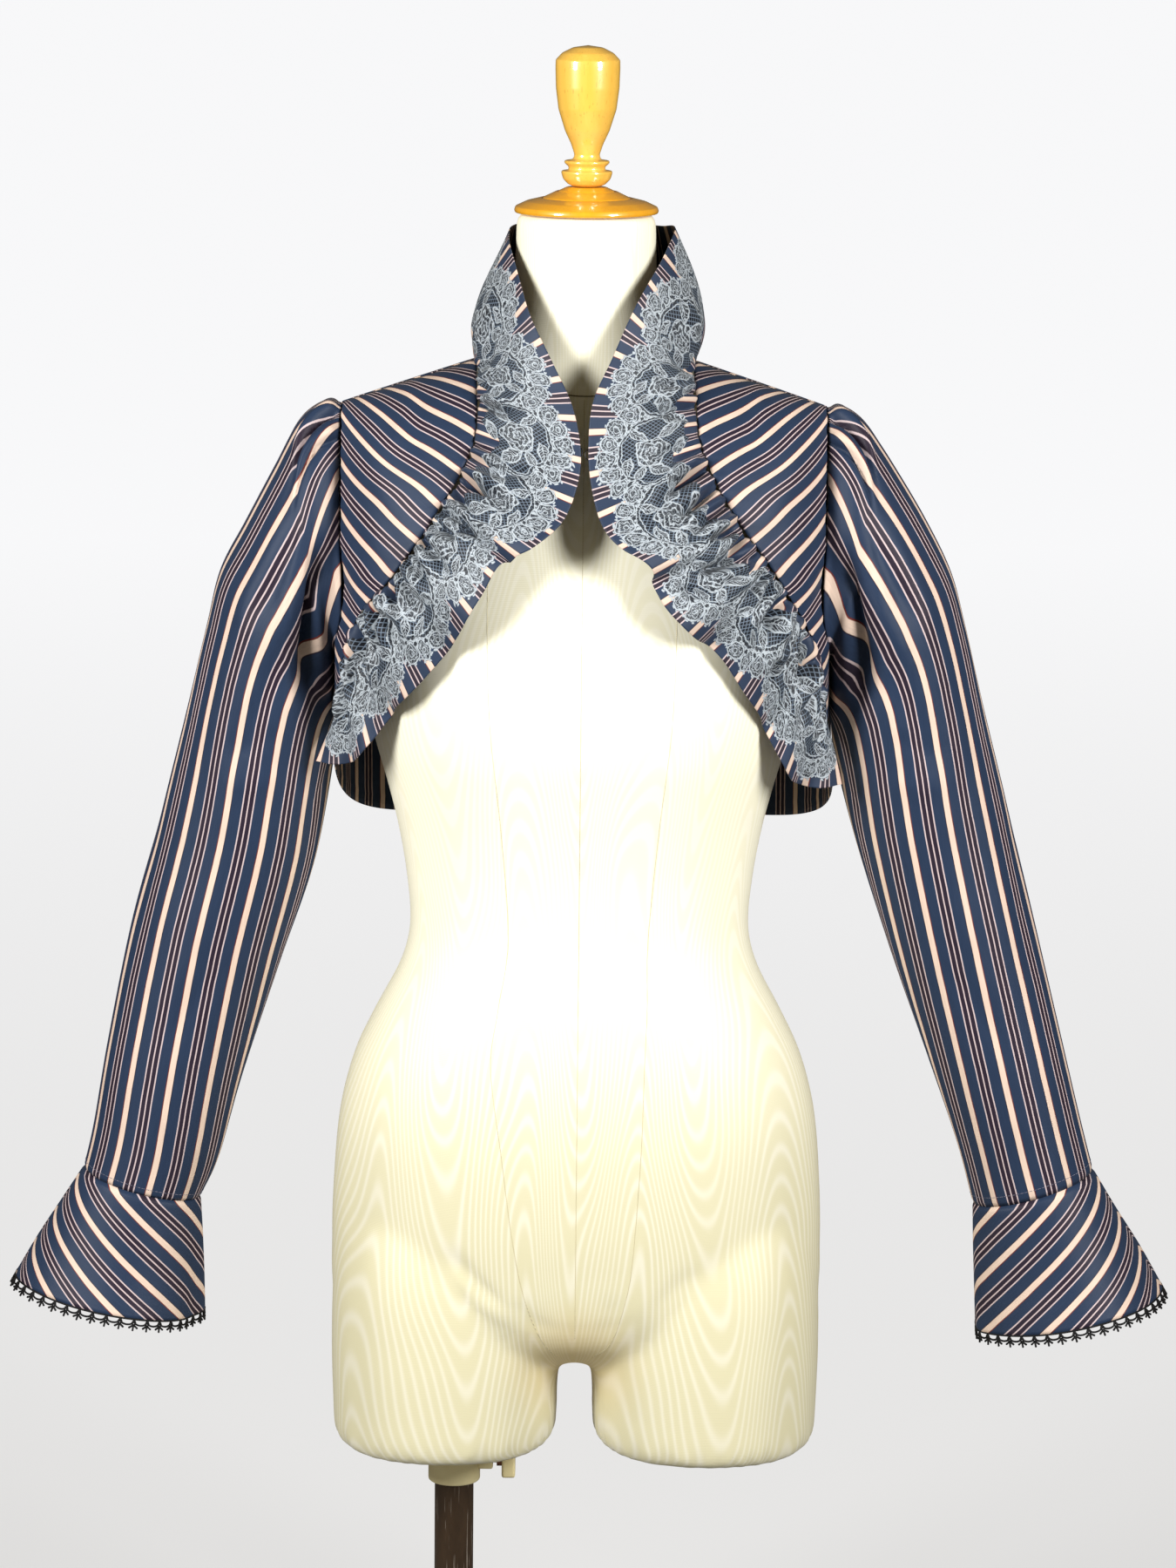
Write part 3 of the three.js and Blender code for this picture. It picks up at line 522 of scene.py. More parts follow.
def laceGroup():
    group, taken, leave = newGroup(
        "printed lace",
        [("Along", "NodeSocketFloat"), ("Inwards", "NodeSocketFloat")],
        [("Cover", "NodeSocketFloat"), ("Color", "NodeSocketColor"), ("Height", "NodeSocketFloat")],
    )
    s0, t0 = taken["Along"] * 1000, taken["Inwards"] * 1000
    place = combined(group, s0, t0)
    wobble = noiseAt(group, place, 0.085, 3.0) - 0.5
    wobbleToo = noiseAt(group, combined(group, t0, s0), 0.075, 3.0) - 0.5
    s, t = s0 + wobble * lace["driftAlong"], t0 + wobbleToo * lace["driftInwards"]
    grain = noiseAt(group, place, 0.55, 3.0)
    x = s.centred(lace["period"])
    half = (s + lace["period"] / 2).centred(lace["period"])
    # the scalloped border, a row of round petals that follows each scallop
    down = t * -1.0 + lace["centre"]
    reach = distance(x, down)
    arc = x.math("ARCTAN2", down) * lace["radius"]
    depth = reach * -1.0 + lace["radius"]
    petalX = (arc + lace["petals"] / 2).centred(lace["petals"])
    petalY = depth - lace["petalIn"]
    petal = distance(petalX, petalY)
    petalTurn = petalY.math("ARCTAN2", petalX)
    petalIn = petal.under(lace["petalRadius"], 0.25)
    petalRim = (petal - (lace["petalRadius"] - lace["petalEdge"])).line(0.9, 0.25)
    petalRing = (petal - (petalTurn * 5.0).sine() * 0.6 - lace["petalRing"]).line(0.6, 0.25)
    petalCore = (petal - lace["petalCore"]).line(0.7, 0.25)
    petalRays = ((petalTurn * 9.0).sine()).line(0.6, 0.3) * petal.under(lace["petalRays"], 0.4)
    picotRing = (petal - (lace["petalRadius"] + lace["picotsOut"])).line(1.3, 0.25)
    picots = ((petalTurn * 11.0).sine()).under(-0.1, 0.3) * picotRing
    # a row of dark beads between two threads, inwards of the petals
    band = depth.under(lace["beadsIn"], 0.4) * (depth * -1.0).under(-2.0, 0.4)
    beadDepth = depth - lace["beadsIn"]
    beads = beadDepth.line(0.9, 0.2) * (arc.centred(lace["beadPitch"])).line(1.3, 0.2)
    beadRim = (beadDepth - lace["beadRims"]).line(0.7, 0.25)
    beadRim = beadRim.most((beadDepth + lace["beadRims"]).line(0.7, 0.25))
    # roses on the scallops and between them, with leaves around
    rose = laceRose(x, t - lace["roseIn"], lace["rose"], 5, 0.6, grain)
    small = laceRose(half, t - lace["smallRoseIn"], lace["smallRose"], 4, 2.0, grain)
    leaves = [laceLeaf(x - atX, t - atT, *size) for atX, atT, *size in lace["leaves"]]
    motif = petalIn.most(band)
    threads = petalRim.most(petalRing).most(petalCore).most(petalRays * 0.7).most(picots)
    threads = (threads * depth.under(lace["beadsIn"], 1.0)).most(beadRim)
    for inside, drawn, rim in (rose, small, *leaves):
        motif = motif.most(inside)
        threads = (threads * (inside * -1.0 + 1.0)).most(drawn * inside).most(rim)
    # the net between the motifs
    slanted = t0 * lace["netSlant"]
    netA = (s0 + slanted).centred(lace["net"]).line(lace["netLine"], 0.22)
    netB = (s0 - slanted).centred(lace["net"]).line(lace["netLine"], 0.22)
    netColour = colourMix(group, lace["hole"], lace["mesh"], netA.most(netB) * (grain * 0.5 + 0.6))
    # the motifs are filled with fine curling threads and small dark holes
    curls = ((noiseAt(group, place, 0.2, 2.0) * lace["scribble"]).fract() - 0.5).line(0.34, 0.14)
    cells = edgeDistance(group, place, 0.6).under(0.1, 0.06)
    filling = curls.most(cells * 0.75)
    holes = (noiseAt(group, place, 0.62, 1.5) * -1.0).under(-0.57, 0.03) * (filling * -0.7 + 1.0)
    body = colourMix(group, lace["ground"], lace["light"], filling * 0.8 + (grain - 0.5) * 0.5)
    body = colourMix(group, body, lace["hole"], holes * 0.85)
    colour = colourMix(group, netColour, body, motif)
    colour = colourMix(group, colour, lace["light"], threads * 0.85)
    gap = (threads * -1.0 + 1.0) * motif * noiseAt(group, place, 0.3, 2.0).under(0.56, 0.03)
    colour = colourMix(group, colour, lace["hole"], gap * 0.85)
    colour = colourMix(group, colour, lace["hole"], beads * 0.9)
    # where the print stops: its scalloped outer edge and its ragged inner edge
    outer = (depth * -1.0).under(-lace["petalIn"], 0.3).most(petalIn).most(picots)
    ragged = (s * 0.101).sine() * 5.0 + (s * 0.233).sine() * 3.5 + grain * 5.0
    inner = (t + ragged).under(lace["inner"], 0.4).most(small[0]).most(leaves[0][0]).most(leaves[3][0])
    giveOut(group, leave, Cover=outer * inner, Color=colour, Height=threads + motif * 0.6)
    return group


printedLace = laceGroup()


def laceMaterial(name):
    material, tree, shader = newMaterial(
        name, roughness=0.56, Sheen_Weight=0.05, Sheen_Roughness=0.4, Specular_IOR_Level=0.3,
    )
    along, inwards = separated(tree, clothCoordinates(tree))[:2]
    under = useGroup(tree, stripedCloth, Across=along, Along=inwards)
    over = useGroup(tree, printedLace, Along=along, Inwards=inwards)
    colour = colourMix(tree, under["Color"], over["Color"], over["Cover"])
    tree.links.new(colour.socket, shader.inputs["Base Color"])
    bumpInto(tree, shader, under["Height"] + over["Height"] * 0.2, 0.25, 0.00012)
    return material


# the form's cover: ribbed faille with a watermark of long nested arches
watermark = {
    "arch": 104.0, "girth": 132.4, "rise": 27.0, "folds": 4.6,
    "drift": 60.0, "lean": 5.0, "thinness": 2.6, "ribs": 0.95,
    # the low tint is painted shade that darkens the cover towards the thighs; the fade is painted light that
    # washes out the cover above that band
    "light": srgb(248, 244, 222), "deep": srgb(233, 227, 190), "low": (0.8, 0.79, 0.77),
    "paintedFalloffFrom": 500, "paintedFalloffTo": 790, "fade": 0.62,
    "edge": srgb(236, 200, 120), "edgeShare": 0.42, "crotchZ": 448, "crotchReach": 60,
}


def coverMaterial():
    material, tree, shader = newMaterial(
        "form cover", roughness=0.42, Sheen_Weight=0.1, Specular_IOR_Level=0.5,
    )
    x, y, z = separated(tree, objectCoordinates(tree))
    around, up = (x.math("ARCTAN2", y * -1.0)) * watermark["girth"], z * 1000
    drift = noiseAt(tree, combined(tree, around * 0.011, up * 0.0035), 1.0, 1.0) - 0.5
    lean = noiseAt(tree, combined(tree, around * 0.004 + 7.0, up * 0.006), 1.0, 1.0) - 0.5
    across = around + drift * watermark["drift"]
    arches = (across * (fullTurn / watermark["arch"])).cosine()
    phase = up / watermark["rise"] + arches * watermark["folds"] + lean * watermark["lean"]
    wave = ((phase * fullTurn).sine() + 1.0) * 0.5
    line = wave.power(watermark["thinness"])
    patch = noiseAt(tree, combined(tree, around * 0.02, up * 0.006), 1.0, 2.0)
    share = line * (patch * 0.8 + 0.45)
    ribs = (up * (fullTurn / watermark["ribs"])).sine()
    # painted light and shade by height: high up, the cover is washed towards its light colour and its pattern
    # fades, as if strongly lit, and painted shade darkens it towards the thighs; it also warms where the
    # thighs meet
    middle = (watermark["paintedFalloffFrom"] + watermark["paintedFalloffTo"]) / 2
    low = up.under(middle, middle - watermark["paintedFalloffFrom"])
    share = share + ribs * 0.03 + low * -watermark["fade"] + watermark["fade"]
    colour = colourMix(tree, watermark["deep"], watermark["light"], share)
    colour = colourMix(tree, colour, watermark["low"], low, "MULTIPLY")
    reach = watermark["crotchReach"] / 2
    crotch = distance(x * 1000, up - watermark["crotchZ"]).under(reach, reach)
    colour = colourMix(tree, colour, watermark["edge"], crotch * watermark["edgeShare"])
    tree.links.new(colour.socket, shader.inputs["Base Color"])
    rough = line * -0.12 + 0.48
    tree.links.new(rough.socket, shader.inputs["Roughness"])
    bumpInto(tree, shader, ribs * 0.6 + line * 0.5, 0.2, 0.00015)
    return material


def woodMaterial(name, pale, deep):
    material, tree, shader = newMaterial(
        name, roughness=0.34, Coat_Weight=1.0, Coat_Roughness=0.09, Coat_IOR=1.9, Specular_IOR_Level=0.5,
    )
    x, y, z = separated(tree, objectCoordinates(tree))
    streak = noiseAt(tree, combined(tree, x * 160, y * 160, z * 9), 1.0, 4.0, 0.6)
    flecks = noiseAt(tree, combined(tree, x * 1100, y * 1100, z * 130), 1.0, 1.0).under(0.3, 0.04)
    colour = colourMix(tree, pale, deep, streak)
    colour = colourMix(tree, colour, srgb(150, 92, 20), flecks * 0.4)
    tree.links.new(colour.socket, shader.inputs["Base Color"])
    bumpInto(tree, shader, streak, 0.06, 0.0002)
    return material


def plasticMaterial():
    material, tree, shader = newMaterial("cream plastic", roughness=0.36, Specular_IOR_Level=0.5)
    place = objectCoordinates(tree)
    cloud = noiseAt(tree, place, 60.0, 3.0)
    colour = colourMix(tree, srgb(232, 222, 176), srgb(214, 196, 140), cloud)
    tree.links.new(colour.socket, shader.inputs["Base Color"])
    bumpInto(tree, shader, noiseAt(tree, place, 900.0, 2.0), 0.08, 0.0002)
    return material


def wornMetalMaterial(name, deep, worn, metallic, scratch):
    material, tree, shader = newMaterial(name, roughness=0.38, metallic=metallic)
    x, y, z = separated(tree, objectCoordinates(tree))
    rust = noiseAt(tree, combined(tree, x * 90, y * 90, z * 22), 1.0, 4.0, 0.65)
    lines = noiseAt(tree, combined(tree, x * 900, y * 900, z * 26), 1.0, 3.0).under(0.36, 0.03)
    colour = colourMix(tree, deep, worn, rust)
    colour = colourMix(tree, colour, srgb(190, 178, 165), lines * scratch)
    tree.links.new(colour.socket, shader.inputs["Base Color"])
    rough = rust * 0.3 + 0.25
    tree.links.new(rough.socket, shader.inputs["Roughness"])
    bumpInto(tree, shader, rust, 0.12, 0.0003)
    return material


def threadMaterial(name, colour, pitch=1.2):
    material, tree, shader = newMaterial(name, roughness=0.7, Specular_IOR_Level=0.25)
    x, y, z = separated(tree, objectCoordinates(tree))
    twist = ((x + y + z) * (fullTurn * 1000 / pitch)).sine()
    shade = colourMix(tree, colour, tuple(c * 0.45 for c in colour), twist * 0.5 + 0.5)
    tree.links.new(shade.socket, shader.inputs["Base Color"])
    bumpInto(tree, shader, twist, 0.2, 0.0001)
    return material


stripeOut = stripeMaterial("striped cloth", shift=9.4)
stripeIn = stripeMaterial("striped cloth inside", dark=0.44)
stripeLining = stripeMaterial("striped cloth inside the back", shift=9.4, dark=0.9)
stripeFront = stripeMaterial("striped cloth on the bias", bias=53, shift=4.5)
stripeCuff = stripeMaterial("striped cloth of the cuffs", bias=-58, shift=14.4)
laceOut = laceMaterial("lace print")
coverCloth = coverMaterial()
capWood = woodMaterial("cap wood", srgb(232, 168, 28), srgb(222, 146, 12))
knobWood = woodMaterial("knob wood", srgb(240, 196, 90), srgb(230, 170, 56))
plastic = plasticMaterial()
poleMetal = wornMetalMaterial("pole metal", srgb(38, 28, 18), srgb(78, 58, 38), 0.45, 0.6)
baseMetal = wornMetalMaterial("base metal", srgb(40, 34, 31), srgb(62, 52, 46), 0.4, 0.12)
blackThread = threadMaterial("black thread", srgb(9, 8, 10), 0.9)
wireMetal = wornMetalMaterial("fastener wire", srgb(18, 18, 20), srgb(52, 50, 52), 0.7, 0.1)
rustMetal = wornMetalMaterial("screw metal", srgb(74, 40, 24), srgb(140, 84, 48), 0.4, 0.1)
stitchThread = threadMaterial("stitch thread", srgb(120, 118, 134))
seamThread = threadMaterial("cover seam", srgb(238, 226, 184))
# painted shade: the neck seam's thread is a dark olive, the colour of the shade under the collar
neckSeamShadeThread = threadMaterial("cover neck seam in painted shade", srgb(120, 104, 62))
print("materials ready")


# the garment's body, sleeves and frills: the same sizes as the frame's solids
bodice = {
    "half": 166, "chest": 124, "back": 108, "square": 2.5,
    "neckHalf": 72, "neckBack": 61, "neckRise": 6, "neckZ": 1124, "slope": 1 / 3,
    "chestFullMiddle": 900, "chestFullSide": 990, "backFull": 1040,
    "armholeTop": 1094, "underarm": 930, "frontEnd": 886,
    "hemMiddle": 797, "hemLeft": 850, "hemRight": 836, "flareRight": 0.035,
    "shoulderGap": 0.25, "thickness": 0.8, "seamSink": 0.75, "seamWidth": 1.1,
    "level": 1000, "grainBend": 0.4, "backEase": 1.005, "backTurn": 0.4,
    # puckers beside the front's two seams: height, how far they reach, how fast they follow each other
    "frillPucker": (0.5, 7, 0.95), "sleevePucker": (0.35, 6, 0.55),
    # the stitched line above the back's hem: distance from the edge, half width, depth
    "hemStitch": (8, 1.2, 0.35),
    # cut sizes in metres, and their areas in square metres
    "frontCut": (0.13, 0.29), "frontArea": 0.0185, "backCut": (0.45, 0.39), "backArea": 0.14,
    "sleeveCut": (0.4, 0.57), "sleeveArea": 0.15, "cuffCut": (0.39, 0.09), "cuffArea": 0.029,
}
armhole = table(
    "z x", (926, 166), (930, 166), (940, 163.5), (955, 160.5),
    (975, 159.5), (1000, 160), (1040, 161), (1094, 162),
)


def shoulderZ(x):
    return bodice["neckZ"] - np.maximum(np.abs(x) - bodice["neckHalf"], 0) * bodice["slope"]


def halfAngle(x):
    return np.arcsin(np.minimum(np.abs(x) / bodice["half"], 1) ** (bodice["square"] / 2))


def widthAt(angle):
    return bodice["half"] * np.sin(angle) ** (2 / bodice["square"])


def fullness(angle):
    return np.maximum(np.cos(angle), 0) ** (2 / bodice["square"])


def armholeX(z):
    return readTable(armhole, "z", z, "x")


def chestY(x, z):
    x, z = np.broadcast_arrays(np.asarray(x, float), np.asarray(z, float))
    full = bodice["chest"] * fullness(halfAngle(x))
    share = np.clip((np.abs(x) - 60) / 100, 0, 1)
    fullZ = mix(bodice["chestFullMiddle"], bodice["chestFullSide"], share)
    topZ = shoulderZ(x)
    climb = np.clip((z - fullZ) / (topZ - fullZ), 0, 1)
    fall = np.maximum(fullZ - z, 0) / 120
    upper = -full * np.sqrt(1 - climb ** 2)
    lower = -full * (1 - 0.1 * fall ** 1.5)
    return np.where(z >= topZ, 0, np.where(z >= fullZ, upper, lower))


def runLength(xs, zs):  # length over the chest along its last axis
    ys = chestY(xs, zs)
    return np.sum(np.sqrt(np.diff(xs) ** 2 + np.diff(ys) ** 2 + np.diff(zs) ** 2), axis=-1)


def chestCloth(x, z):  # flat cloth of the chest: out from the middle, and down from one level
    share = np.linspace(0, 1, 41)
    flatX, flatZ = x[..., None] + 0 * share, z[..., None] + 0 * share
    outwards = mix(x, runLength(flatX * share, flatZ), bodice["grainBend"])
    level = bodice["level"]
    rise = runLength(flatX, level + (flatZ - level) * share) * np.sign(z - level)
    return np.stack([outwards, -rise], axis=2)


frillLeft = table(
    "seamX seamZ edgeX edgeY edgeZ belly",
    (164, 886, 177, -43, 858, 3), (162.5, 905, 163, -54, 858, 5), (160, 923, 150, -65, 863, 7),
    (156, 943, 137, -74, 878, 5), (149, 959, 126, -86, 898, 6), (139, 974, 112, -98, 914, 7),
    (127, 988, 96, -111, 934, 8), (115, 1005, 80, -122, 957, 8), (104, 1020, 66, -130, 982, 8),
    (94, 1036, 52, -134, 1008, 8), (85, 1050, 33, -131, 1014, 8), (78, 1063, 14, -121, 1031, 8),
    (73, 1075, 4, -107, 1054, 8), (71, 1088, 2, -97, 1076, 9), (70.5, 1101, 8, -89, 1104, 10),
    (71, 1112, 21, -79, 1130, 10), (71.5, 1120, 35, -62, 1160, 10),
)
frillRight = table(
    "seamX seamZ edgeX edgeY edgeZ belly",
    (164, 886, 175, -43, 846, 3), (162.5, 904, 157, -57, 846, 6), (160, 921, 140, -67, 853, 8),
    (156, 938, 129, -76, 873, 8), (150, 955, 119, -86, 897, 6), (139, 974, 105, -98, 919, 7),
    (129, 991, 90, -111, 943, 8), (119, 1006, 70, -123, 960, 8), (109, 1019, 52, -131, 981, 8),
    (100, 1032, 45, -134, 1003, 8), (91, 1046, 27, -130, 1014, 8), (83, 1062, 13, -122, 1029, 8),
    (78, 1074, 5, -107, 1054, 8), (75, 1086, 3, -97, 1080, 9), (74, 1101, 6, -88, 1108, 10),
    (73, 1112, 20, -77, 1137, 11), (72.5, 1120, 34, -58, 1168, 12),
)
collarLeft = table(
    "turn edgeX edgeY edgeZ belly",
    (2, 47, -33, 1192, 11), (20, 53, -4, 1207, 11), (45, 48, 25, 1211, 9),
    (67, 29, 46, 1210, 8), (89.6, 0.4, 56, 1209, 8),
)
collarRight = table(
    "turn edgeX edgeY edgeZ belly",
    (2, 49, -29, 1194, 14), (20, 59, 0, 1212, 13), (45, 51, 28, 1212, 9),
    (67, 30, 47, 1210, 8), (89.6, 0.4, 56, 1209, 8),
)
frill = {
    "across": 60, "along": 440, "step": 0.5, "aside": 0.15, "forward": 130, "thickness": 0.7,
    "cut": (0.55, 0.085), "seamLength": 434, "width": 84, "gatherDepth": 2.2, "foldDepth": 2.1,
    # the largest flutes: place along the frill, half width there, height at the free edge
    "flutesLeft": [
        (0.03, 0.02, 3), (0.075, 0.016, -5), (0.125, 0.024, 5), (0.185, 0.014, -6), (0.235, 0.026, 4),
        (0.305, 0.016, -6), (0.36, 0.025, 5), (0.438, 0.013, -10), (0.485, 0.028, 5), (0.56, 0.03, -2),
        (0.70, 0.03, -2), (0.76, 0.03, 2.5), (0.86, 0.03, -2), (0.94, 0.03, 2),
    ],
    "flutesRight": [
        (0.025, 0.018, 4), (0.07, 0.014, -6), (0.12, 0.022, 5), (0.175, 0.013, -5), (0.23, 0.028, 3),
        (0.30, 0.014, -7), (0.345, 0.022, 5), (0.405, 0.013, -9), (0.46, 0.028, 4), (0.545, 0.02, -2),
        (0.66, 0.03, 2), (0.72, 0.028, -3), (0.80, 0.03, 2.5), (0.90, 0.03, -2),
    ],
    # creases drawn in at the seam: place, lean, half width, depth, how far they reach
    "gathersLeft": [
        (0.02, 0.01, 0.006, 2.5, 0.6), (0.05, -0.01, 0.005, 2.0, 0.45), (0.085, 0.012, 0.007, 3.4, 0.8),
        (0.118, -0.006, 0.005, 2.2, 0.5), (0.15, 0.01, 0.007, 4.2, 0.85), (0.182, 0.004, 0.005, 2.4, 0.5),
        (0.21, -0.008, 0.006, 3.2, 0.6), (0.247, 0.01, 0.006, 3.0, 0.7), (0.275, -0.004, 0.005, 1.8, 0.4),
        (0.305, 0.01, 0.006, 2.8, 0.65), (0.335, 0.0, 0.005, 2.0, 0.45), (0.37, 0.012, 0.006, 2.6, 0.6),
        (0.4, -0.006, 0.005, 2.2, 0.5), (0.432, 0.006, 0.006, 3.4, 0.75), (0.47, -0.01, 0.006, 2.4, 0.55),
        (0.505, 0.006, 0.006, 3.2, 0.6), (0.545, 0.0, 0.006, 2.4, 0.5), (0.58, -0.006, 0.006, 2.8, 0.5),
        (0.62, 0.004, 0.006, 2.2, 0.45), (0.665, -0.01, 0.006, 3.2, 0.55), (0.71, 0.004, 0.006, 1.8, 0.4),
        (0.76, 0.004, 0.008, 1.6, 0.4), (0.82, 0.0, 0.008, 1.5, 0.4), (0.88, 0.0, 0.008, 1.5, 0.4),
        (0.94, 0.0, 0.008, 1.4, 0.4),
    ],
    "gathersRight": [
        (0.025, 0.006, 0.006, 2.2, 0.55), (0.055, -0.008, 0.006, 3.2, 0.7), (0.09, 0.01, 0.005, 2.2, 0.5),
        (0.122, -0.004, 0.007, 4.0, 0.8), (0.155, 0.008, 0.005, 2.0, 0.45), (0.19, 0.01, 0.007, 3.4, 0.75),
        (0.222, -0.008, 0.005, 2.2, 0.5), (0.255, 0.006, 0.007, 3.8, 0.7), (0.288, 0.008, 0.006, 2.4, 0.55),
        (0.32, -0.006, 0.005, 2.6, 0.6), (0.352, 0.01, 0.006, 2.2, 0.5), (0.388, -0.008, 0.007, 3.8, 0.8),
        (0.42, 0.004, 0.005, 2.0, 0.45), (0.455, -0.006, 0.006, 3.0, 0.65), (0.49, 0.01, 0.006, 2.2, 0.5),
        (0.53, -0.01, 0.007, 3.6, 0.7), (0.57, 0.004, 0.006, 2.4, 0.5), (0.615, -0.004, 0.006, 2.8, 0.55),
        (0.66, 0.01, 0.007, 3.4, 0.6), (0.7, -0.006, 0.006, 2.6, 0.5), (0.75, 0.0, 0.007, 1.8, 0.4),
        (0.81, 0.0, 0.008, 1.5, 0.4), (0.87, 0.0, 0.008, 1.6, 0.4), (0.93, 0.0, 0.008, 1.4, 0.4),
    ],
    "ripple": 0.6, "ripplePitch": 5.2, "rippleFade": 9, "endFade": 14,
    # how a crease drawn in at the seam spreads, leans and wanders, and the ridge beside it
    "gatherSpread": 1.3, "gatherLean": 1.6, "gatherWander": 0.004,
    "ridgeAway": 2.1, "ridgeWidth": 1.4, "ridgeShare": 0.55,
    # the frill lies smoother where the hook and eye hold it: place, half width, how much
    "heldAt": 0.615, "heldWidth": 0.045, "heldShare": 0.85,
    # deep folds pressed into the gathered cloth: along and across, to along and across, half width, height
    "foldsLeft": [
        (210, -2, 222, 27, 2.6, -5.0), (217, 2, 230, 30, 4.0, 3.2), (178, 4, 176, 32, 2.8, -5.2),
        (171, 6, 168, 34, 4.5, 3.0), (148, -2, 150, 26, 2.4, -4.8), (156, 0, 159, 24, 3.6, 2.6),
        (124, 0, 122, 20, 2.4, -4.0), (104, 0, 96, 42, 3.2, -6.0), (112, 2, 104, 40, 5.0, 3.4),
        (82, 2, 74, 38, 2.6, -4.6), (62, 4, 56, 36, 3.4, -4.4), (44, 2, 40, 30, 3.0, -3.8),
        (36, 6, 30, 44, 4.0, 3.0), (182, 18, 196, 44, 3.0, -3.4), (236, 24, 250, 52, 4.0, -3.6),
        (262, 2, 266, 34, 3.4, -4.6), (246, 0, 244, 22, 3.0, 2.6), (288, 2, 284, 28, 3.2, -3.8),
        (304, 0, 306, 26, 3.6, 2.6), (20, 2, 16, 34, 3.0, -3.4),
    ],
    "foldsRight": [
        (168, 44, 155, 14, 3.0, -5.6), (162, 40, 146, 10, 4.4, 3.6), (184, 27, 176, -2, 2.8, -5.2),
        (192, 26, 186, 0, 4.0, 3.2), (256, 38, 261, 4, 3.2, -6.2), (266, 40, 270, 6, 5.0, 3.8),
        (69, 30, 81, 2, 2.8, -5.0), (60, 28, 70, 2, 4.2, 3.0), (112, 34, 118, 0, 2.8, -4.6),
        (104, 30, 108, 2, 4.0, 2.8), (136, 26, 132, -2, 2.6, -4.4), (210, 34, 216, 0, 3.0, -4.6),
        (232, 30, 228, 0, 3.0, -4.4), (240, 26, 244, 4, 4.0, 2.8), (284, 30, 280, 2, 3.2, -4.0),
        (300, 28, 304, 0, 3.4, 2.6), (46, 34, 50, 2, 3.0, -4.2), (28, 36, 32, 2, 3.4, -3.8),
        (96, 40, 84, 62, 3.6, -3.0), (150, 50, 170, 66, 4.0, -2.6),
    ],
}


def frillRows(rows, collar):
    turn = np.radians(collar["turn"])
    count, more = len(rows["seamX"]), len(turn)
    both = {name: np.append(rows[name], collar[name]) for name in ("edgeX", "edgeY", "edgeZ", "belly")}
    seamY = chestY(rows["seamX"], rows["seamZ"]) - bodice["shoulderGap"]
    both["seamX"] = np.append(rows["seamX"], bodice["neckHalf"] * np.cos(turn))
    both["seamY"] = np.append(seamY, bodice["neckBack"] * np.sin(turn) + bodice["shoulderGap"])
    both["seamZ"] = np.append(rows["seamZ"], bodice["neckZ"] + bodice["neckRise"] * np.sin(turn))
    both["aside"] = np.append(np.full(count, frill["aside"]), np.ones(more))
    both["forward"] = np.append(np.full(count, float(frill["forward"])), np.zeros(more))
    both["chestEnd"] = (count - 1) / (count + more - 1)
    return both


def seamAcross(rows, z):  # how far out the frill's seam lies at a height
    place = np.linspace(0, rows["chestEnd"], 500)
    heights = np.maximum.accumulate(readPlace(rows, place, "seamZ"))
    return np.interp(z, heights, readPlace(rows, place, "seamX"))


def sinkSeam(points, normals, distances):  # the cloth turns in along a seam
    sink = bodice["seamSink"] * hump(distances, bodice["seamWidth"])
    return points - normals * sink[..., None]


def frontPiece(side, name, rows):
    u, v = gridPlaces(56, 120)

    def xAt(z):
        return widthAt(mix(halfAngle(seamAcross(rows, z)), halfAngle(armholeX(z)), u))
    topZ = np.full(u.shape, float(bodice["neckZ"]))
    for turn in range(6):  # each turn brings the top nearer to the shoulder line
        topZ = shoulderZ(xAt(topZ))
    z = mix(topZ, bodice["frontEnd"], v ** 1.4)
    x = xAt(z)
    y = np.minimum(chestY(x, z), 0) - bodice["shoulderGap"]
    points = np.stack([x, y, z], axis=2)
    falls = bodice["neckZ"] - z
    place = np.stack([x, falls], axis=2)
    cloth = chestCloth(x, z)
    cloth[..., 1] += creaseField(place, frontWaves)
    normals = -normalsOf(points)
    fromFrill = arcLength(points, 0)
    fromSleeve = fromFrill[-1:] - fromFrill
    high, reach, turns = bodice["frillPucker"]
    pucker = high * np.exp(-fromFrill / reach) * np.sin(falls * turns + 2 * np.sin(falls * 0.13))
    high, reach, turns = bodice["sleevePucker"]
    pucker += high * np.exp(-fromSleeve / reach) * np.sin(falls * turns)
    points = points + normals * (creaseField(place, frontCreases) + pucker)[..., None]
    points = sinkSeam(points, normals, np.minimum(fromFrill, fromSleeve))
    points[..., 0] *= side
    piece = sheetMesh(name + "_cloth", points, cloth, flip=side > 0)
    clothShell(piece, bodice["thickness"], stripeFront, stripeIn)
    placed(piece, "form", "stripe_cloth", name)


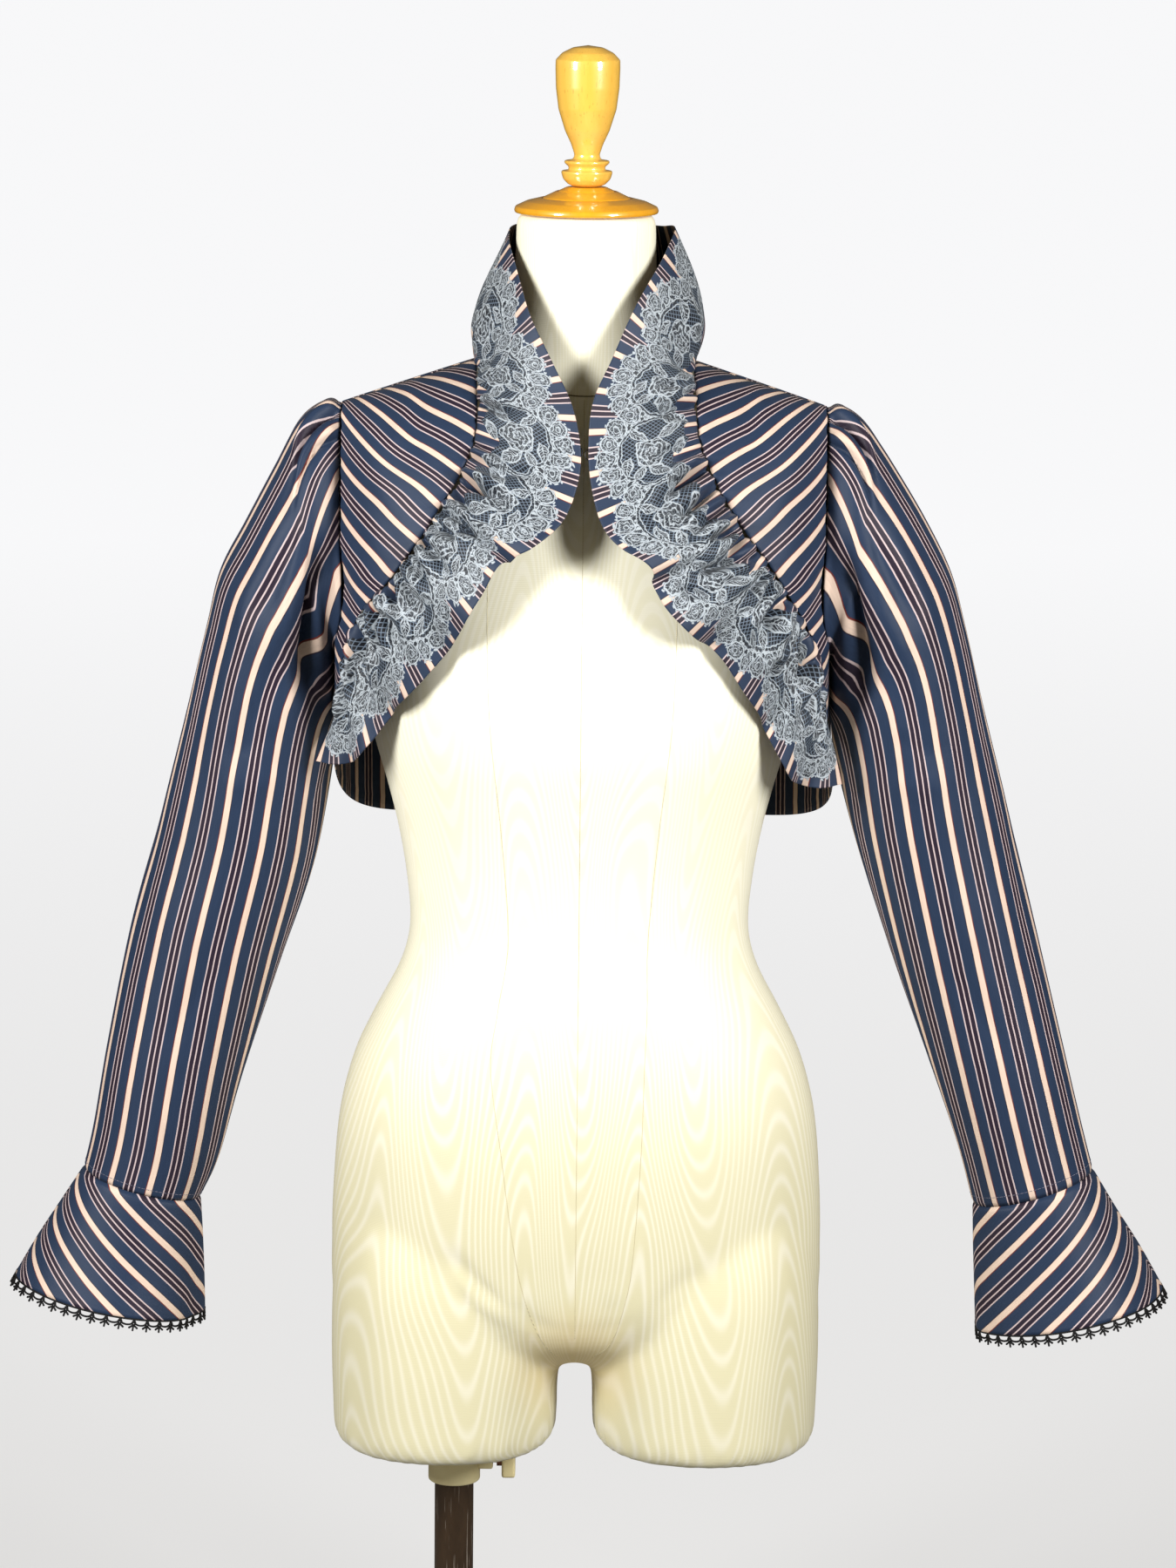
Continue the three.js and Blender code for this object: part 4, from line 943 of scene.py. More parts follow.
def backPiece():
    u, v = gridPlaces(150, 90, -1)
    spread = np.abs(u)
    topX = widthAt(halfAngle(armholeX(bodice["armholeTop"])) * spread)
    inside = np.sqrt(1 - np.minimum(topX / bodice["neckHalf"], 1) ** 2)
    topY, topZ = bodice["neckBack"] * inside, shoulderZ(topX) + bodice["neckRise"] * inside
    low = np.where(u < 0, bodice["hemLeft"], bodice["hemRight"])
    hem = mix(bodice["hemMiddle"], low, spread ** 4)
    turn = np.minimum(v / bodice["backTurn"], 1) * (math.pi / 2)
    rest = np.maximum(v - bodice["backTurn"], 0) / (1 - bodice["backTurn"])
    upper = mix(bodice["backFull"], topZ, np.cos(turn))
    z = np.where(v < bodice["backTurn"], upper, mix(bodice["backFull"], hem, rest))
    angle = halfAngle(armholeX(z)) * spread
    y = mix(topY, bodice["back"] * fullness(angle), np.sin(turn)) + bodice["shoulderGap"]
    drop = np.clip((bodice["underarm"] - z) / (bodice["underarm"] - bodice["hemMiddle"]), 0, 1)
    flare = np.where(u < 0, 0, bodice["flareRight"] * drop ** 1.5)
    points = np.stack([np.sign(u) * widthAt(angle) * (bodice["backEase"] + flare), y, z], axis=2)
    edge = arcLength(points, 0)
    falls = arcLength(points, 1) + (bodice["neckZ"] - topZ)
    cloth = np.stack([edge - edge[len(edge) // 2], falls], axis=2)
    normals = facing(normalsOf(points), (0, 1, 0))
    fromSeam = np.where(z < bodice["underarm"], np.inf, np.minimum(edge, edge[-1:] - edge))
    points = points + normals * creaseField(cloth, backCreases)[..., None]
    fromHem = arcLength(points, 1)
    fromHem = fromHem[:, -1:] - fromHem
    above, width, depth = bodice["hemStitch"]
    points = points - normals * (depth * hump(fromHem - above, width))[..., None]
    points = sinkSeam(points, normals, fromSeam)
    piece = sheetMesh("back_cloth", points, cloth)
    clothShell(piece, bodice["thickness"], stripeOut, stripeLining)
    placed(piece, "form", "stripe_cloth", "back")


def frillPiece(side, name, rows, flutes, gathers, folds):
    u, v = gridPlaces(frill["along"], frill["across"])
    at = {key: readPlace(rows, u, key) for key in rows if key != "chestEnd"}
    seam, edge = (np.stack([at[end + way] for way in "XYZ"], axis=2) for end in ("seam", "edge"))
    out = np.stack([at["seamX"] * at["aside"], at["seamY"] - at["forward"], at["seamX"] * 0], axis=2)
    out /= np.linalg.norm(out, axis=2, keepdims=True)
    reach = edge - seam
    start = frill["step"] / np.linalg.norm(reach, axis=2)
    points = seam + reach * mix(start, 1, v)[..., None]
    points = points + out * (at["belly"] * np.sin(math.pi * v ** 0.8))[..., None]
    normals = facing(normalsOf(points), out)
    ends = np.minimum(np.minimum(u, 1 - u) * frill["endFade"], 1)
    held = 1 - frill["heldShare"] * hump(u - frill["heldAt"], frill["heldWidth"])
    move = np.zeros_like(u * v)
    for place, width, height in flutes:
        move += height * hump(u - place, width) * v ** 1.4
    for place, lean, width, depth, far in gathers:
        spread = width * (1 + frill["gatherSpread"] * v)
        wander = frill["gatherWander"] * np.sin(v * 9 + place * 70)
        away = u - place - frill["gatherLean"] * lean * v - wander
        drawn = np.exp(-np.abs(away / spread) ** 1.3)
        ridge = hump(away - frill["ridgeAway"] * spread, frill["ridgeWidth"] * spread)
        fade = smoothStep(-v, -far * 1.1, -far * 0.4) * smoothStep(v, -0.04, 0.06)
        move += frill["gatherDepth"] * (frill["ridgeShare"] * depth * ridge - depth * drawn) * fade
    spots = np.stack([u * frill["seamLength"] + 0 * v, v * frill["width"] + 0 * u], axis=2)
    move += frill["foldDepth"] * creaseField(spots, folds)
    seamArc = arcLength(points, 0)[:, :1]
    wander = 2.2 * np.sin(u * 31 + side) + 1.3 * np.sin(u * 77)
    ripple = np.sin(seamArc * (fullTurn / frill["ripplePitch"]) + wander)
    move += frill["ripple"] * ripple * np.exp(-v * frill["rippleFade"])
    points = points + normals * (move * ends * held)[..., None]
    edgeArc, crossArc = arcLength(points[:, -4:-3], 0), arcLength(points, 1)
    cloth = np.stack([edgeArc + 0 * v, crossArc[:, -1:] - crossArc], axis=2)
    points = sinkSeam(points, normals, crossArc)
    points[..., 0] *= side
    piece = sheetMesh(name + "_cloth", points, cloth, flip=side < 0)
    clothShell(piece, frill["thickness"], laceOut, stripeIn)
    placed(piece, "form", "lace_print_cloth", name)


# curves and beads joined into one mesh
def cordMesh(name, paths, radius, sides=3, beads=(), beadRadius=0.4):
    curve = bpy.data.curves.new(name, "CURVE")
    curve.dimensions = "3D"
    curve.bevel_depth = radius * mm
    curve.bevel_resolution = sides - 2
    curve.use_fill_caps = True
    for path, closed in paths:
        spline = curve.splines.new("POLY")
        spline.points.add(len(path) - 1)
        spline.points.foreach_set("co", np.column_stack([path * mm, np.ones(len(path))]).ravel())
        spline.use_cyclic_u = closed
    holder = bpy.data.objects.new(name, curve)
    scene.collection.objects.link(holder)
    evaluated = holder.evaluated_get(bpy.context.evaluated_depsgraph_get())
    data = bpy.data.meshes.new_from_object(evaluated)
    mesh = bmesh.new()
    mesh.from_mesh(data)
    for bead in beads:
        spot = Matrix.Translation(Vector(bead * mm))
        bmesh.ops.create_icosphere(mesh, subdivisions=1, radius=beadRadius * mm, matrix=spot)
    bpy.data.objects.remove(holder)
    bpy.data.curves.remove(curve)
    bpy.data.meshes.remove(data)
    return finishMesh(name, mesh, smooth=True)


# the black edging: a row of cups under the hem, each with a ring and a fan of three beaded stems
edging = {
    "pitch": 9.6, "cup": 3.9, "cord": 0.72, "ringRadius": 1.2, "ringDepth": 2.7, "hemGap": 0.2,
    "stem": 3.0, "stemFrom": 4.2, "stemGap": 0.4, "fan": 1.08, "bead": 0.85,
}


def edgingPiece(name, node, cuffPoints):
    hem, above = cuffPoints[:-1, -1], cuffPoints[:-1, -4]
    closed = np.vstack([hem, hem[:1]])
    run = arcLength(closed, 0)
    total = run[-1]
    count = round(total / edging["pitch"])
    step = total / count
    down = hem - above
    down /= np.linalg.norm(down, axis=1, keepdims=True)
    down = np.vstack([down, down[:1]])

    def spot(along, drop):
        along = along % total
        return pointAt(closed, run, along) + pointAt(down, run, along) * drop
    paths, beads = [], []
    size, reach, gap = edging["ringRadius"], edging["stem"], edging["stemGap"]
    for start in np.arange(count) * step:
        cup = [
            spot(start + step * (1 - math.cos(a)) / 2, edging["hemGap"] + edging["cup"] * math.sin(a) ** 0.7)
            for a in np.linspace(0, math.pi, 13)
        ]
        paths.append((np.array(cup), False))
        ring = [
            spot(start + size * math.cos(a), edging["ringDepth"] + size * 1.2 * math.sin(a))
            for a in np.linspace(0, fullTurn, 7)[:-1]
        ]
        paths.append((np.array(ring), True))
        for angle in (-edging["fan"], 0, edging["fan"]):
            inner = spot(start + 0.5 * math.sin(angle), edging["stemFrom"] + gap * math.cos(angle))
            outer = spot(start + reach * math.sin(angle), edging["stemFrom"] + gap + reach * math.cos(angle))
            paths.append((np.array([inner, outer]), False))
            beads.append(outer)
    heading = [spot(a, edging["hemGap"]) for a in np.linspace(0, total, 160)[:-1]]
    paths.append((np.array(heading), True))
    piece = cordMesh(name, paths, edging["cord"], 3, beads, edging["bead"])
    piece.data.materials.append(blackThread)
    return placed(piece, "form", "black_lace", node)


sleeveLeft = table(
    "outX outZ inX inZ depth",
    (176, 1093, 168.4, 927, 53), (192, 1078, 168.6, 923, 56), (206, 1052, 168.8, 919, 57),
    (226, 1014, 169, 911, 57), (243, 981, 169, 901, 56), (252, 944, 169.5, 886, 54),
    (264, 893, 170, 853, 50), (284, 813, 180, 784, 44), (304, 739, 204, 711, 40),
    (321, 655, 230, 631, 38), (331, 597, 246, 574, 37), (338, 566, 259, 545, 37),
)
sleeveRight = table(
    "outX outZ inX inZ depth",
    (177, 1092, 168.4, 927, 53), (193, 1076, 168.6, 923, 56), (210, 1051, 169, 919, 57),
    (230, 1018, 170, 911, 57), (247, 984, 171, 901, 56), (257, 949, 172, 886, 54),
    (269, 900, 175, 856, 50), (289, 824, 188, 799, 44), (308, 750, 212, 725, 40),
    (327, 675, 239, 651, 38), (343, 612, 261, 589, 37), (354, 571, 273, 546, 37),
)
cuffLeft = table(
    "outX outZ inX inZ depth",
    (338.6, 565, 258.9, 543.9, 37.4), (354, 541, 257.5, 518, 43), (370, 516, 256.5, 490, 50),
    (385, 490, 256, 464, 59),
)
cuffRight = table(
    "outX outZ inX inZ depth",
    (354.6, 570, 273, 544.9, 37.4), (371, 543, 274, 517, 43), (389, 515, 275.5, 488, 50),
    (405, 487, 277, 459, 59),
)


sleeve = {
    # distance along the armhole from its top, and the grain line that is sewn there
    "easedGrain": ((0, 9.5, 23, 56.8, 90, 123, 160, 200), (0, 20.8, 48.4, 76, 90, 103.6, 112, 118)),
    "easeReach": 40,
    # the ring from which the grain hangs freely, and how far each tube is turned about its arm
    "freeRing": 7, "turnedLeft": 8, "turnedRight": 11,
    # the fuller crown of the cap, and the cloth that closes up under the arm
    "crown": 2.6, "crownWidth": 62, "closing": 3.4, "closingZ": 884, "closingReach": 60,
    "stitchRow": 3, "stitchPitch": 3.0, "stitchShare": 0.72, "stitchRadius": 0.2,
    "cuffSeamTurn": 0.02, "tuck": 1.4, "tuckGap": 0.2,
}


def stitchRow(name, ring):  # short threads that lie on the cloth along a ring
    run = arcLength(ring, 0)
    outwards = ring - ring.mean(axis=0)
    outwards /= np.linalg.norm(outwards, axis=1, keepdims=True)
    lifted = ring + outwards * (bodice["thickness"] / 2)
    pitch = sleeve["stitchPitch"]
    paths = []
    for start in np.arange(0, run[-1] - pitch, pitch):
        ends = np.linspace(start, start + pitch * sleeve["stitchShare"], 3)
        paths.append((pointAt(lifted, run, ends), False))
    piece = cordMesh(name, paths, sleeve["stitchRadius"], 3)
    piece.data.materials.append(stitchThread)
    return placed(piece, "form", "stripe_cloth")


def armholePoint(turn):  # from the shoulder forward, down, and up the back
    middle = (bodice["armholeTop"] + bodice["underarm"]) / 2
    z = middle + (bodice["armholeTop"] - middle) * np.cos(turn)
    x = armholeX(z)
    blend = np.clip((z - bodice["backFull"]) / (bodice["armholeTop"] - bodice["backFull"]), 0, 1)
    behind = bodice["back"] * fullness(halfAngle(x)) * np.sqrt(1 - blend ** 2)
    y = np.where(np.sin(turn) > 0, chestY(x, z), behind)
    return np.stack([x + 0.5, y, z], axis=2)


def ringPoints(rows, place, turn):
    across = (1 - np.cos(turn)) / 2
    x = mix(readPlace(rows, place, "outX"), readPlace(rows, place, "inX"), across)
    z = mix(readPlace(rows, place, "outZ"), readPlace(rows, place, "inZ"), across)
    y = -readPlace(rows, place, "depth") * np.sin(turn)
    return np.stack([x, y, z], axis=2)


def roundCloth(points, top):  # flat cloth of a tube that is slit along its inner side
    round_ = arcLength(points, 0)
    middle = round_[top:top + 1]
    outer = arcLength(points[top:top + 1], 1)
    return np.stack([round_ - middle, np.repeat(outer, points.shape[0], axis=0)], axis=2)


def straightGrain(points, cloth, half, column):  # one ring's grain, carried on straight along the sleeve
    flat = points[..., [0, 2]]
    ring = flat[half:, column]
    across = (ring[-1] - ring[0]) / np.linalg.norm(ring[-1] - ring[0])
    offset = (flat - flat[half:half + 1]) @ across
    bulge = (flat[half:half + 1] - ring[0]) @ across
    offset = offset * (1 + bulge / offset[-1:])
    reach, grain = offset[half:, column], cloth[half:, column, 0]
    return np.interp(offset, reach, grain) + np.maximum(offset - reach[-1], 0)


def sleevePiece(side, name, rows, turned):
    around, along = 200, 150
    steps = len(rows["outX"])
    u, v = gridPlaces(around, along)
    turn = (u + 0.5) * fullTurn
    place = v * steps
    ring = np.where(place < 2, place ** 2 / 4, place - 1) / (steps - 1)
    rings = ringPoints(rows, ring, turn + 0 * v)
    seam = armholePoint(turn + 0 * v)
    start = np.minimum(place / 1.6, 1)[..., None]
    points = mix(seam, rings, start * (2 - start))
    cloth = roundCloth(points, around // 2)
    down = cloth[..., 1]
    # towards the armhole the grain runs straight on, then into how the cap was eased into its seam
    column = np.argmin(np.abs(place[0] - sleeve["freeRing"]))
    way = np.sign(u - 0.5)
    straight = way * straightGrain(points, cloth, around // 2, column)
    atSeam = way * np.interp(np.abs(cloth[:, :1, 0]), *sleeve["easedGrain"])
    away = np.clip(1 - down / sleeve["easeReach"], 0, 1)
    free = smoothStep(place, sleeve["freeRing"] - 2, sleeve["freeRing"] + 1)
    hanging = mix(straight, cloth[..., 0], free) + turned
    grain = np.stack([mix(hanging, atSeam, away ** 1.4), down], axis=2)
    # creases, the fuller crown, and the closing under the arm
    normals = tubeNormals(points)
    fade = smoothStep(down, 0, 5)
    crown = sleeve["crown"] * smoothStep(down, 1, 9) * smoothStep(-down, -46, -10)
    crown = crown * hump(cloth[..., 0], sleeve["crownWidth"])
    inner = (1 - np.cos(turn)) / 2
    height = points[..., 2] - sleeve["closingZ"]
    closing = sleeve["closing"] * inner ** 6 * hump(height, sleeve["closingReach"])
    points = points + normals * (creaseField(cloth, sleeveCreases) * fade + crown + closing)[..., None]
    points = sinkSeam(points, normals, down)
    points = sinkSeam(points, normals, 2 * (cloth[:, -1:, 1] - down))
    points[-1] = points[0]
    points[..., 0] *= side
    piece = sheetMesh(name + "_cloth", points, grain, wrap=True, flip=side < 0)
    clothShell(piece, bodice["thickness"], stripeOut, stripeIn)
    stitches = stitchRow(name + "_stitches", points[:, -sleeve["stitchRow"]])
    placed(piece, "form", "stripe_cloth", name)
    return stitches


def cuffPiece(side, name, rows, flutes):
    u, v = gridPlaces(150, 34)
    points = ringPoints(rows, v + 0 * u, (u + 0.5) * fullTurn + 0 * v)
    # two halves, so the stripes mirror at both side seams
    outer = arcLength(points, 0)
    whole = outer[-1:]
    seamPlace = (0.5 + sleeve["cuffSeamTurn"]) * whole
    inFront = np.where(outer > seamPlace, (outer - seamPlace) / (whole - seamPlace), 1 - outer / seamPlace)
    fromMiddle = (inFront - 0.5) * whole / 2
    fall = arcLength(points, 1).mean(axis=0) + 0 * u
    cloth = np.stack([fromMiddle, fall], axis=2)
    normals = tubeNormals(points)
    move = np.zeros_like(u * v)
    for place, width, height in flutes:
        away = np.abs((u - place + 0.5) % 1 - 0.5)
        move += height * hump(away, width) * v ** 1.3
    points = points + normals * move[..., None]
    # the upper edge is tucked into the end of the sleeve
    rise = points[:, 0] - points[:, 1]
    rise /= np.linalg.norm(rise, axis=1, keepdims=True)
    points[:, 0] += rise * sleeve["tuck"] - normals[:, 0] * (bodice["thickness"] + sleeve["tuckGap"])
    points[-1] = points[0]
    points[..., 0] *= side
    piece = sheetMesh(name + "_cloth", points, cloth, wrap=True, flip=side < 0)
    clothShell(piece, bodice["thickness"], stripeCuff, stripeIn)
    placed(piece, "form", "stripe_cloth", name)
    edge = edgingPiece(name + "_edging", "cuff_lace" + name[4:], points)


# creases: from (x, y) to (x, y) on the flat cloth, half width, height (troughs are negative)
frontCreases = [
    (98, 6, 118, 66, 7, -0.9), (112, 12, 132, 58, 5, 0.6), (150, 70, 118, 128, 9, -1.0),
    (168, 100, 132, 150, 7, 0.8), (176, 118, 146, 176, 6, -1.3), (182, 150, 158, 206, 5, 0.9),
    (120, 90, 150, 40, 8, 0.6), (96, 60, 130, 30, 6, -0.5),
]
frontWaves = [  # how the grain wanders, in millimetres down
    (80, 30, 150, 50, 16, -3.0), (84, 70, 150, 96, 12, 2.4), (120, 120, 156, 150, 10, -2.4),
    (140, 160, 160, 190, 9, 2.2),
]
backCreases = [
    (-150, 120, -60, 160, 12, -1.4), (150, 118, 64, 168, 12, -1.5), (-120, 60, -70, 130, 9, 0.9),
    (118, 62, 66, 126, 9, 1.0), (-40, 190, -52, 320, 12, 1.2), (30, 200, 46, 322, 13, -1.3),
    (-96, 230, -110, 300, 9, -1.2), (100, 226, 112, 304, 9, 1.1), (-20, 30, 25, 44, 8, -0.8),
]
sleeveCreases = [
    # pleats of the cap
    (13, -6, 46, 46, 2.4, -7.0), (7, -6, 34, 44, 4.2, 4.0), (30, -6, 66, 48, 2.4, -4.6),
    (24, -6, 58, 46, 4.0, 2.8), (-13, -6, -40, 46, 2.2, -5.4), (-7, -6, -30, 42, 4.0, 3.2),
    (-30, -6, -62, 46, 2.2, -3.4), (40, 4, 52, 70, 6, -1.4), (-42, 4, -54, 74, 6, -1.4),
    # the deep hollow in front of the underarm, and its like behind
    (134, -6, 114, 180, 15, -14.0), (84, 20, 74, 150, 10, 1.6), (-130, -6, -110, 170, 14, -8.0),
    # drape below the underarm and at the elbow
    (84, 36, 66, 150, 8, -3.4), (98, 70, 80, 190, 7, 2.6), (70, 60, 50, 180, 9, 1.6),
    (-84, 36, -66, 150, 8, -3.2), (-98, 70, -80, 190, 7, 2.4),
    (92, 150, 70, 260, 8, -2.2), (-92, 150, -72, 258, 8, -2.0),
    (96, 226, 58, 250, 7, -1.8), (98, 252, 62, 282, 7, 1.5), (-96, 232, -60, 262, 7, -1.7),
    (30, 120, 22, 250, 12, 1.0), (-28, 110, -20, 260, 12, -1.0), (52, 250, 44, 380, 10, -1.2),
    (-50, 270, -42, 400, 10, 1.1), (14, 300, 20, 430, 11, -0.9), (72, 330, 60, 440, 8, 1.2),
    (-72, 320, -58, 440, 8, -1.2), (80, 400, 66, 470, 7, -1.3),
]
cuffFlutesLeft = [
    (0.06, 0.03, -3.0), (0.94, 0.035, -3.6), (0.2, 0.06, 2.2), (0.36, 0.06, -2.0), (0.56, 0.05, 1.6),
    (0.68, 0.05, -1.8), (0.8, 0.05, 2.0),
]
cuffFlutesRight = [
    (0.1, 0.05, 2.4), (0.25, 0.06, -2.2), (0.4, 0.06, 1.8), (0.56, 0.05, -1.6), (0.7, 0.06, 2.0),
    (0.84, 0.05, -2.4), (0.95, 0.03, 2.2),
]

rowsLeft = frillRows(frillLeft, collarLeft)
rowsRight = frillRows(frillRight, collarRight)
backPiece()
frontPiece(-1, "front_left", rowsLeft)
frontPiece(1, "front_right", rowsRight)
print("body of the jacket ready")
frillPiece(-1, "frill_left", rowsLeft, frill["flutesLeft"], frill["gathersLeft"], frill["foldsLeft"])
frillPiece(1, "frill_right", rowsRight, frill["flutesRight"], frill["gathersRight"], frill["foldsRight"])
print("frills ready")
stitchesLeft = sleevePiece(-1, "sleeve_left", sleeveLeft, sleeve["turnedLeft"])
stitchesRight = sleevePiece(1, "sleeve_right", sleeveRight, sleeve["turnedRight"])
cuffPiece(-1, "cuff_left", cuffLeft, cuffFlutesLeft)
cuffPiece(1, "cuff_right", cuffRight, cuffFlutesRight)
print("sleeves and cuffs ready")


# the dress form: a trunk and two thighs joined into one smooth body
form = {
    "square": 2.3, "neckSquare": 2.0, "neckLow": 1104, "thighX": 89.5,
    "around": 180, "along": 240, "voxel": 3.6, "smoothing": 12,
    "boreX": -83, "boreRadius": 14, "boreTop": 575, "boreStart": 300,
    "seamRadius": 0.2, "neckSeamRadius": 0.4,
    "neckSeamFront": 1106, "neckSeamSide": 1127, "neckSeamBack": 12, "backSeam": (1110, 460),
    "archHalf": 46, "archLow": 404, "archHigh": 486, "archPasses": 45,
    # the drawn-in rims of the thighs: height above their ends, half width, depth, how fast they pucker
    "rimUp": 7, "rimWidth": 6, "rimPucker": 0.45, "rimTurns": 34,
}
trunkRows = table(
    "z half front back",
    (1221.5, 46.5, 47, 46), (1190, 47, 48, 47), (1160, 49, 50, 49), (1138, 54, 53, 52),
    (1124, 64, 53, 56), (1114, 88, 53, 62), (1104.5, 116, 56, 70), (1095, 142, 60, 76),
    (1079, 153, 68, 83), (1050, 156, 79, 92), (1010, 155, 94, 99), (960, 151, 110, 99),
    (905, 146, 117, 93), (870, 139.5, 113, 88), (840, 131, 104, 83), (810, 123.5, 95, 79),
    (775, 117.5, 87, 76), (739, 115, 84, 76), (712, 121.5, 87, 83), (680, 138, 92, 96),
    (650, 152, 95, 106), (612, 162, 96, 114), (565, 166.5, 94, 117), (520, 168, 91, 114),
    (480, 166, 85, 104), (455, 150, 70, 84), (440, 110, 40, 48),
)
thighRows = table(
    "z half front back",
    (560, 70, 70, 88), (500, 77, 83, 100), (450, 78.5, 86, 97), (405, 77.5, 85.5, 92),
    (384, 76, 84, 90), (378, 72, 80, 86),
)
# seams of the cover, seen from the front: across and up
princessLeft = [
    (-63, 1096), (-60, 1050), (-62, 980), (-60, 900), (-52, 820), (-47, 745), (-53, 700),
    (-58, 660), (-50.5, 600), (-43, 543), (-35, 502), (-23.6, 470), (-12, 452),
]
princessRight = [
    (63, 1096), (60, 1050), (62, 980), (60, 900), (52, 820), (46, 745), (46, 700),
    (44.6, 660), (43, 601), (38, 525), (32.8, 494), (24.4, 466), (12, 452),
]
middleFront = [(0, 1104), (0, 800), (0, 470)]


def loftMesh(mesh, rows, middleX, squareAt):
    around, along = form["around"], form["along"]
    turn = np.linspace(0, fullTurn, around + 1)[:, None]
    z = np.linspace(rows["z"].min(), rows["z"].max(), along + 1)[None, :]
    power = 2 / squareAt(z)
    sine, cosine = np.sin(turn), np.cos(turn)
    depth = np.where(sine < 0, readTable(rows, "z", z, "front"), readTable(rows, "z", z, "back"))
    x = middleX + np.sign(cosine) * np.abs(cosine) ** power * readTable(rows, "z", z, "half")
    y = np.sign(sine) * np.abs(sine) ** power * depth
    points = np.stack([x, y, z + 0 * turn], axis=2)
    made = bmesh.ops.create_grid(mesh, x_segments=around, y_segments=along, size=0.5)["verts"]
    for vert in made:
        spot = (round((vert.co.x + 0.5) * around), round((vert.co.y + 0.5) * along))
        vert.co = points[spot] * mm
    bmesh.ops.remove_doubles(mesh, verts=made, dist=1e-6)


def formPiece():
    mesh = bmesh.new()
    loftMesh(mesh, trunkRows, 0, lambda z: np.where(z > form["neckLow"], form["neckSquare"], form["square"]))
    for side in (-1, 1):
        loftMesh(mesh, thighRows, side * form["thighX"], lambda z: form["square"] + 0 * z)
    bmesh.ops.holes_fill(mesh, edges=mesh.edges)
    bmesh.ops.recalc_face_normals(mesh, faces=mesh.faces)
    piece = finishMesh("form_cover", mesh)
    voxels = piece.modifiers.new("one skin", "REMESH")
    voxels.mode = "VOXEL"
    voxels.voxel_size = form["voxel"] * mm
    soft = piece.modifiers.new("smooth joins", "SMOOTH")
    soft.iterations = form["smoothing"]
    top, start = form["boreTop"], form["boreStart"]
    middle = Matrix.Translation((form["boreX"] * mm, 0, (top + start) / 2 * mm))
    drill(piece, form["boreRadius"], top - start, middle, 48)
    roundArch(piece.data)
    shapeCover(piece.data)
    piece.data.shade_smooth()
    piece.data.materials.append(coverCloth)
    return placed(piece, "form", "form_cover", "form_torso")


def roundArch(data):  # the gap between the thighs ends in a round arch
    mesh = bmesh.new()
    mesh.from_mesh(data)
    near = [
        vert for vert in mesh.verts
        if abs(vert.co.x) < form["archHalf"] * mm and form["archLow"] * mm < vert.co.z < form["archHigh"] * mm
    ]
    for turn in range(form["archPasses"]):
        bmesh.ops.smooth_vert(
            mesh, verts=near, factor=0.5, use_axis_x=True, use_axis_y=False, use_axis_z=True,
        )
    mesh.to_mesh(data)
    mesh.free()


def shapeCover(data):  # soft dents of the stretched cover, and its drawn-in lower rims
    spots = np.empty(len(data.vertices) * 3)
    data.vertices.foreach_get("co", spots)
    spots = spots.reshape(-1, 3) / mm
    normals = np.array([vert.normal for vert in data.vertices])
    place = spots[:, None, [0, 2]]
    dents = creaseField(place, coverDents)[:, 0] * smoothStep(-spots[:, 1], 0, 40)
    rim = hump(spots[:, 2] - thighRows["z"].min() - form["rimUp"], form["rimWidth"])
    turn = np.arctan2(spots[:, 1], np.abs(spots[:, 0]) - form["thighX"])
    pucker = form["rimPucker"] * np.sin(turn * form["rimTurns"] + 3 * np.sin(turn * 5)) * rim
    outer = np.hypot(spots[:, 0] - form["boreX"], spots[:, 1]) > 3 * form["boreRadius"]
    spots = spots + normals * ((dents + pucker) * outer)[:, None]
    data.vertices.foreach_set("co", (spots * mm).ravel())
    data.update()


coverDents = [  # across and up on the front of the form
    (-84, 534, -50, 486, 5.5, -2.2), (-78, 520, -44, 474, 6, 1.3), (84, 522, 52, 482, 7, -0.9),
    (-40, 500, -18, 470, 6, -0.8), (30, 500, 16, 468, 6, -0.8),
]


def coverSeams(body):  # thin threads laid onto the cover along its seams
    tree = BVHTree.FromObject(body, bpy.context.evaluated_depsgraph_get())

    def onto(start, towards):
        hit = tree.ray_cast(Vector(start) * mm, Vector(towards).normalized())[0]
        return np.array(hit) / mm

    def smoothPath(marks):
        x, z = (np.array(values, float) for values in zip(*marks))
        rows = {"index": np.arange(len(x), dtype=float), "x": x, "z": z}
        steps = np.linspace(0, len(x) - 1, 90)
        return zip(readTable(rows, "index", steps, "x"), readTable(rows, "index", steps, "z"))
    seams = [
        [onto((x, -400, z), (0, 1, 0)) for x, z in smoothPath(marks)]
        for marks in (princessLeft, princessRight, middleFront)
    ]
    seams.append([onto((0, 400, z), (0, -1, 0)) for z in np.linspace(*form["backSeam"], 100)])
    ring = []
    for turn in np.linspace(0, fullTurn, 97)[:-1]:
        z = mix(form["neckSeamFront"], form["neckSeamSide"], abs(math.cos(turn)) ** 2)
        z += form["neckSeamBack"] * max(math.sin(turn), 0) ** 2
        away = np.array([math.cos(turn), math.sin(turn), 0])
        ring.append(onto(away * 200 + (0, 0, z), -away))
    for name, paths, radius, material in (
        ("cover_seams", [(np.array(seam), False) for seam in seams], form["seamRadius"], seamThread),
        # the neck seam's dark thread colour is painted shade
        ("cover_neck_seam", [(np.array(ring), True)], form["neckSeamRadius"], neckSeamShadeThread),
    ):
        piece = cordMesh(name, paths, radius)
        piece.data.materials.append(material)
        placed(piece, "form", "form_cover")


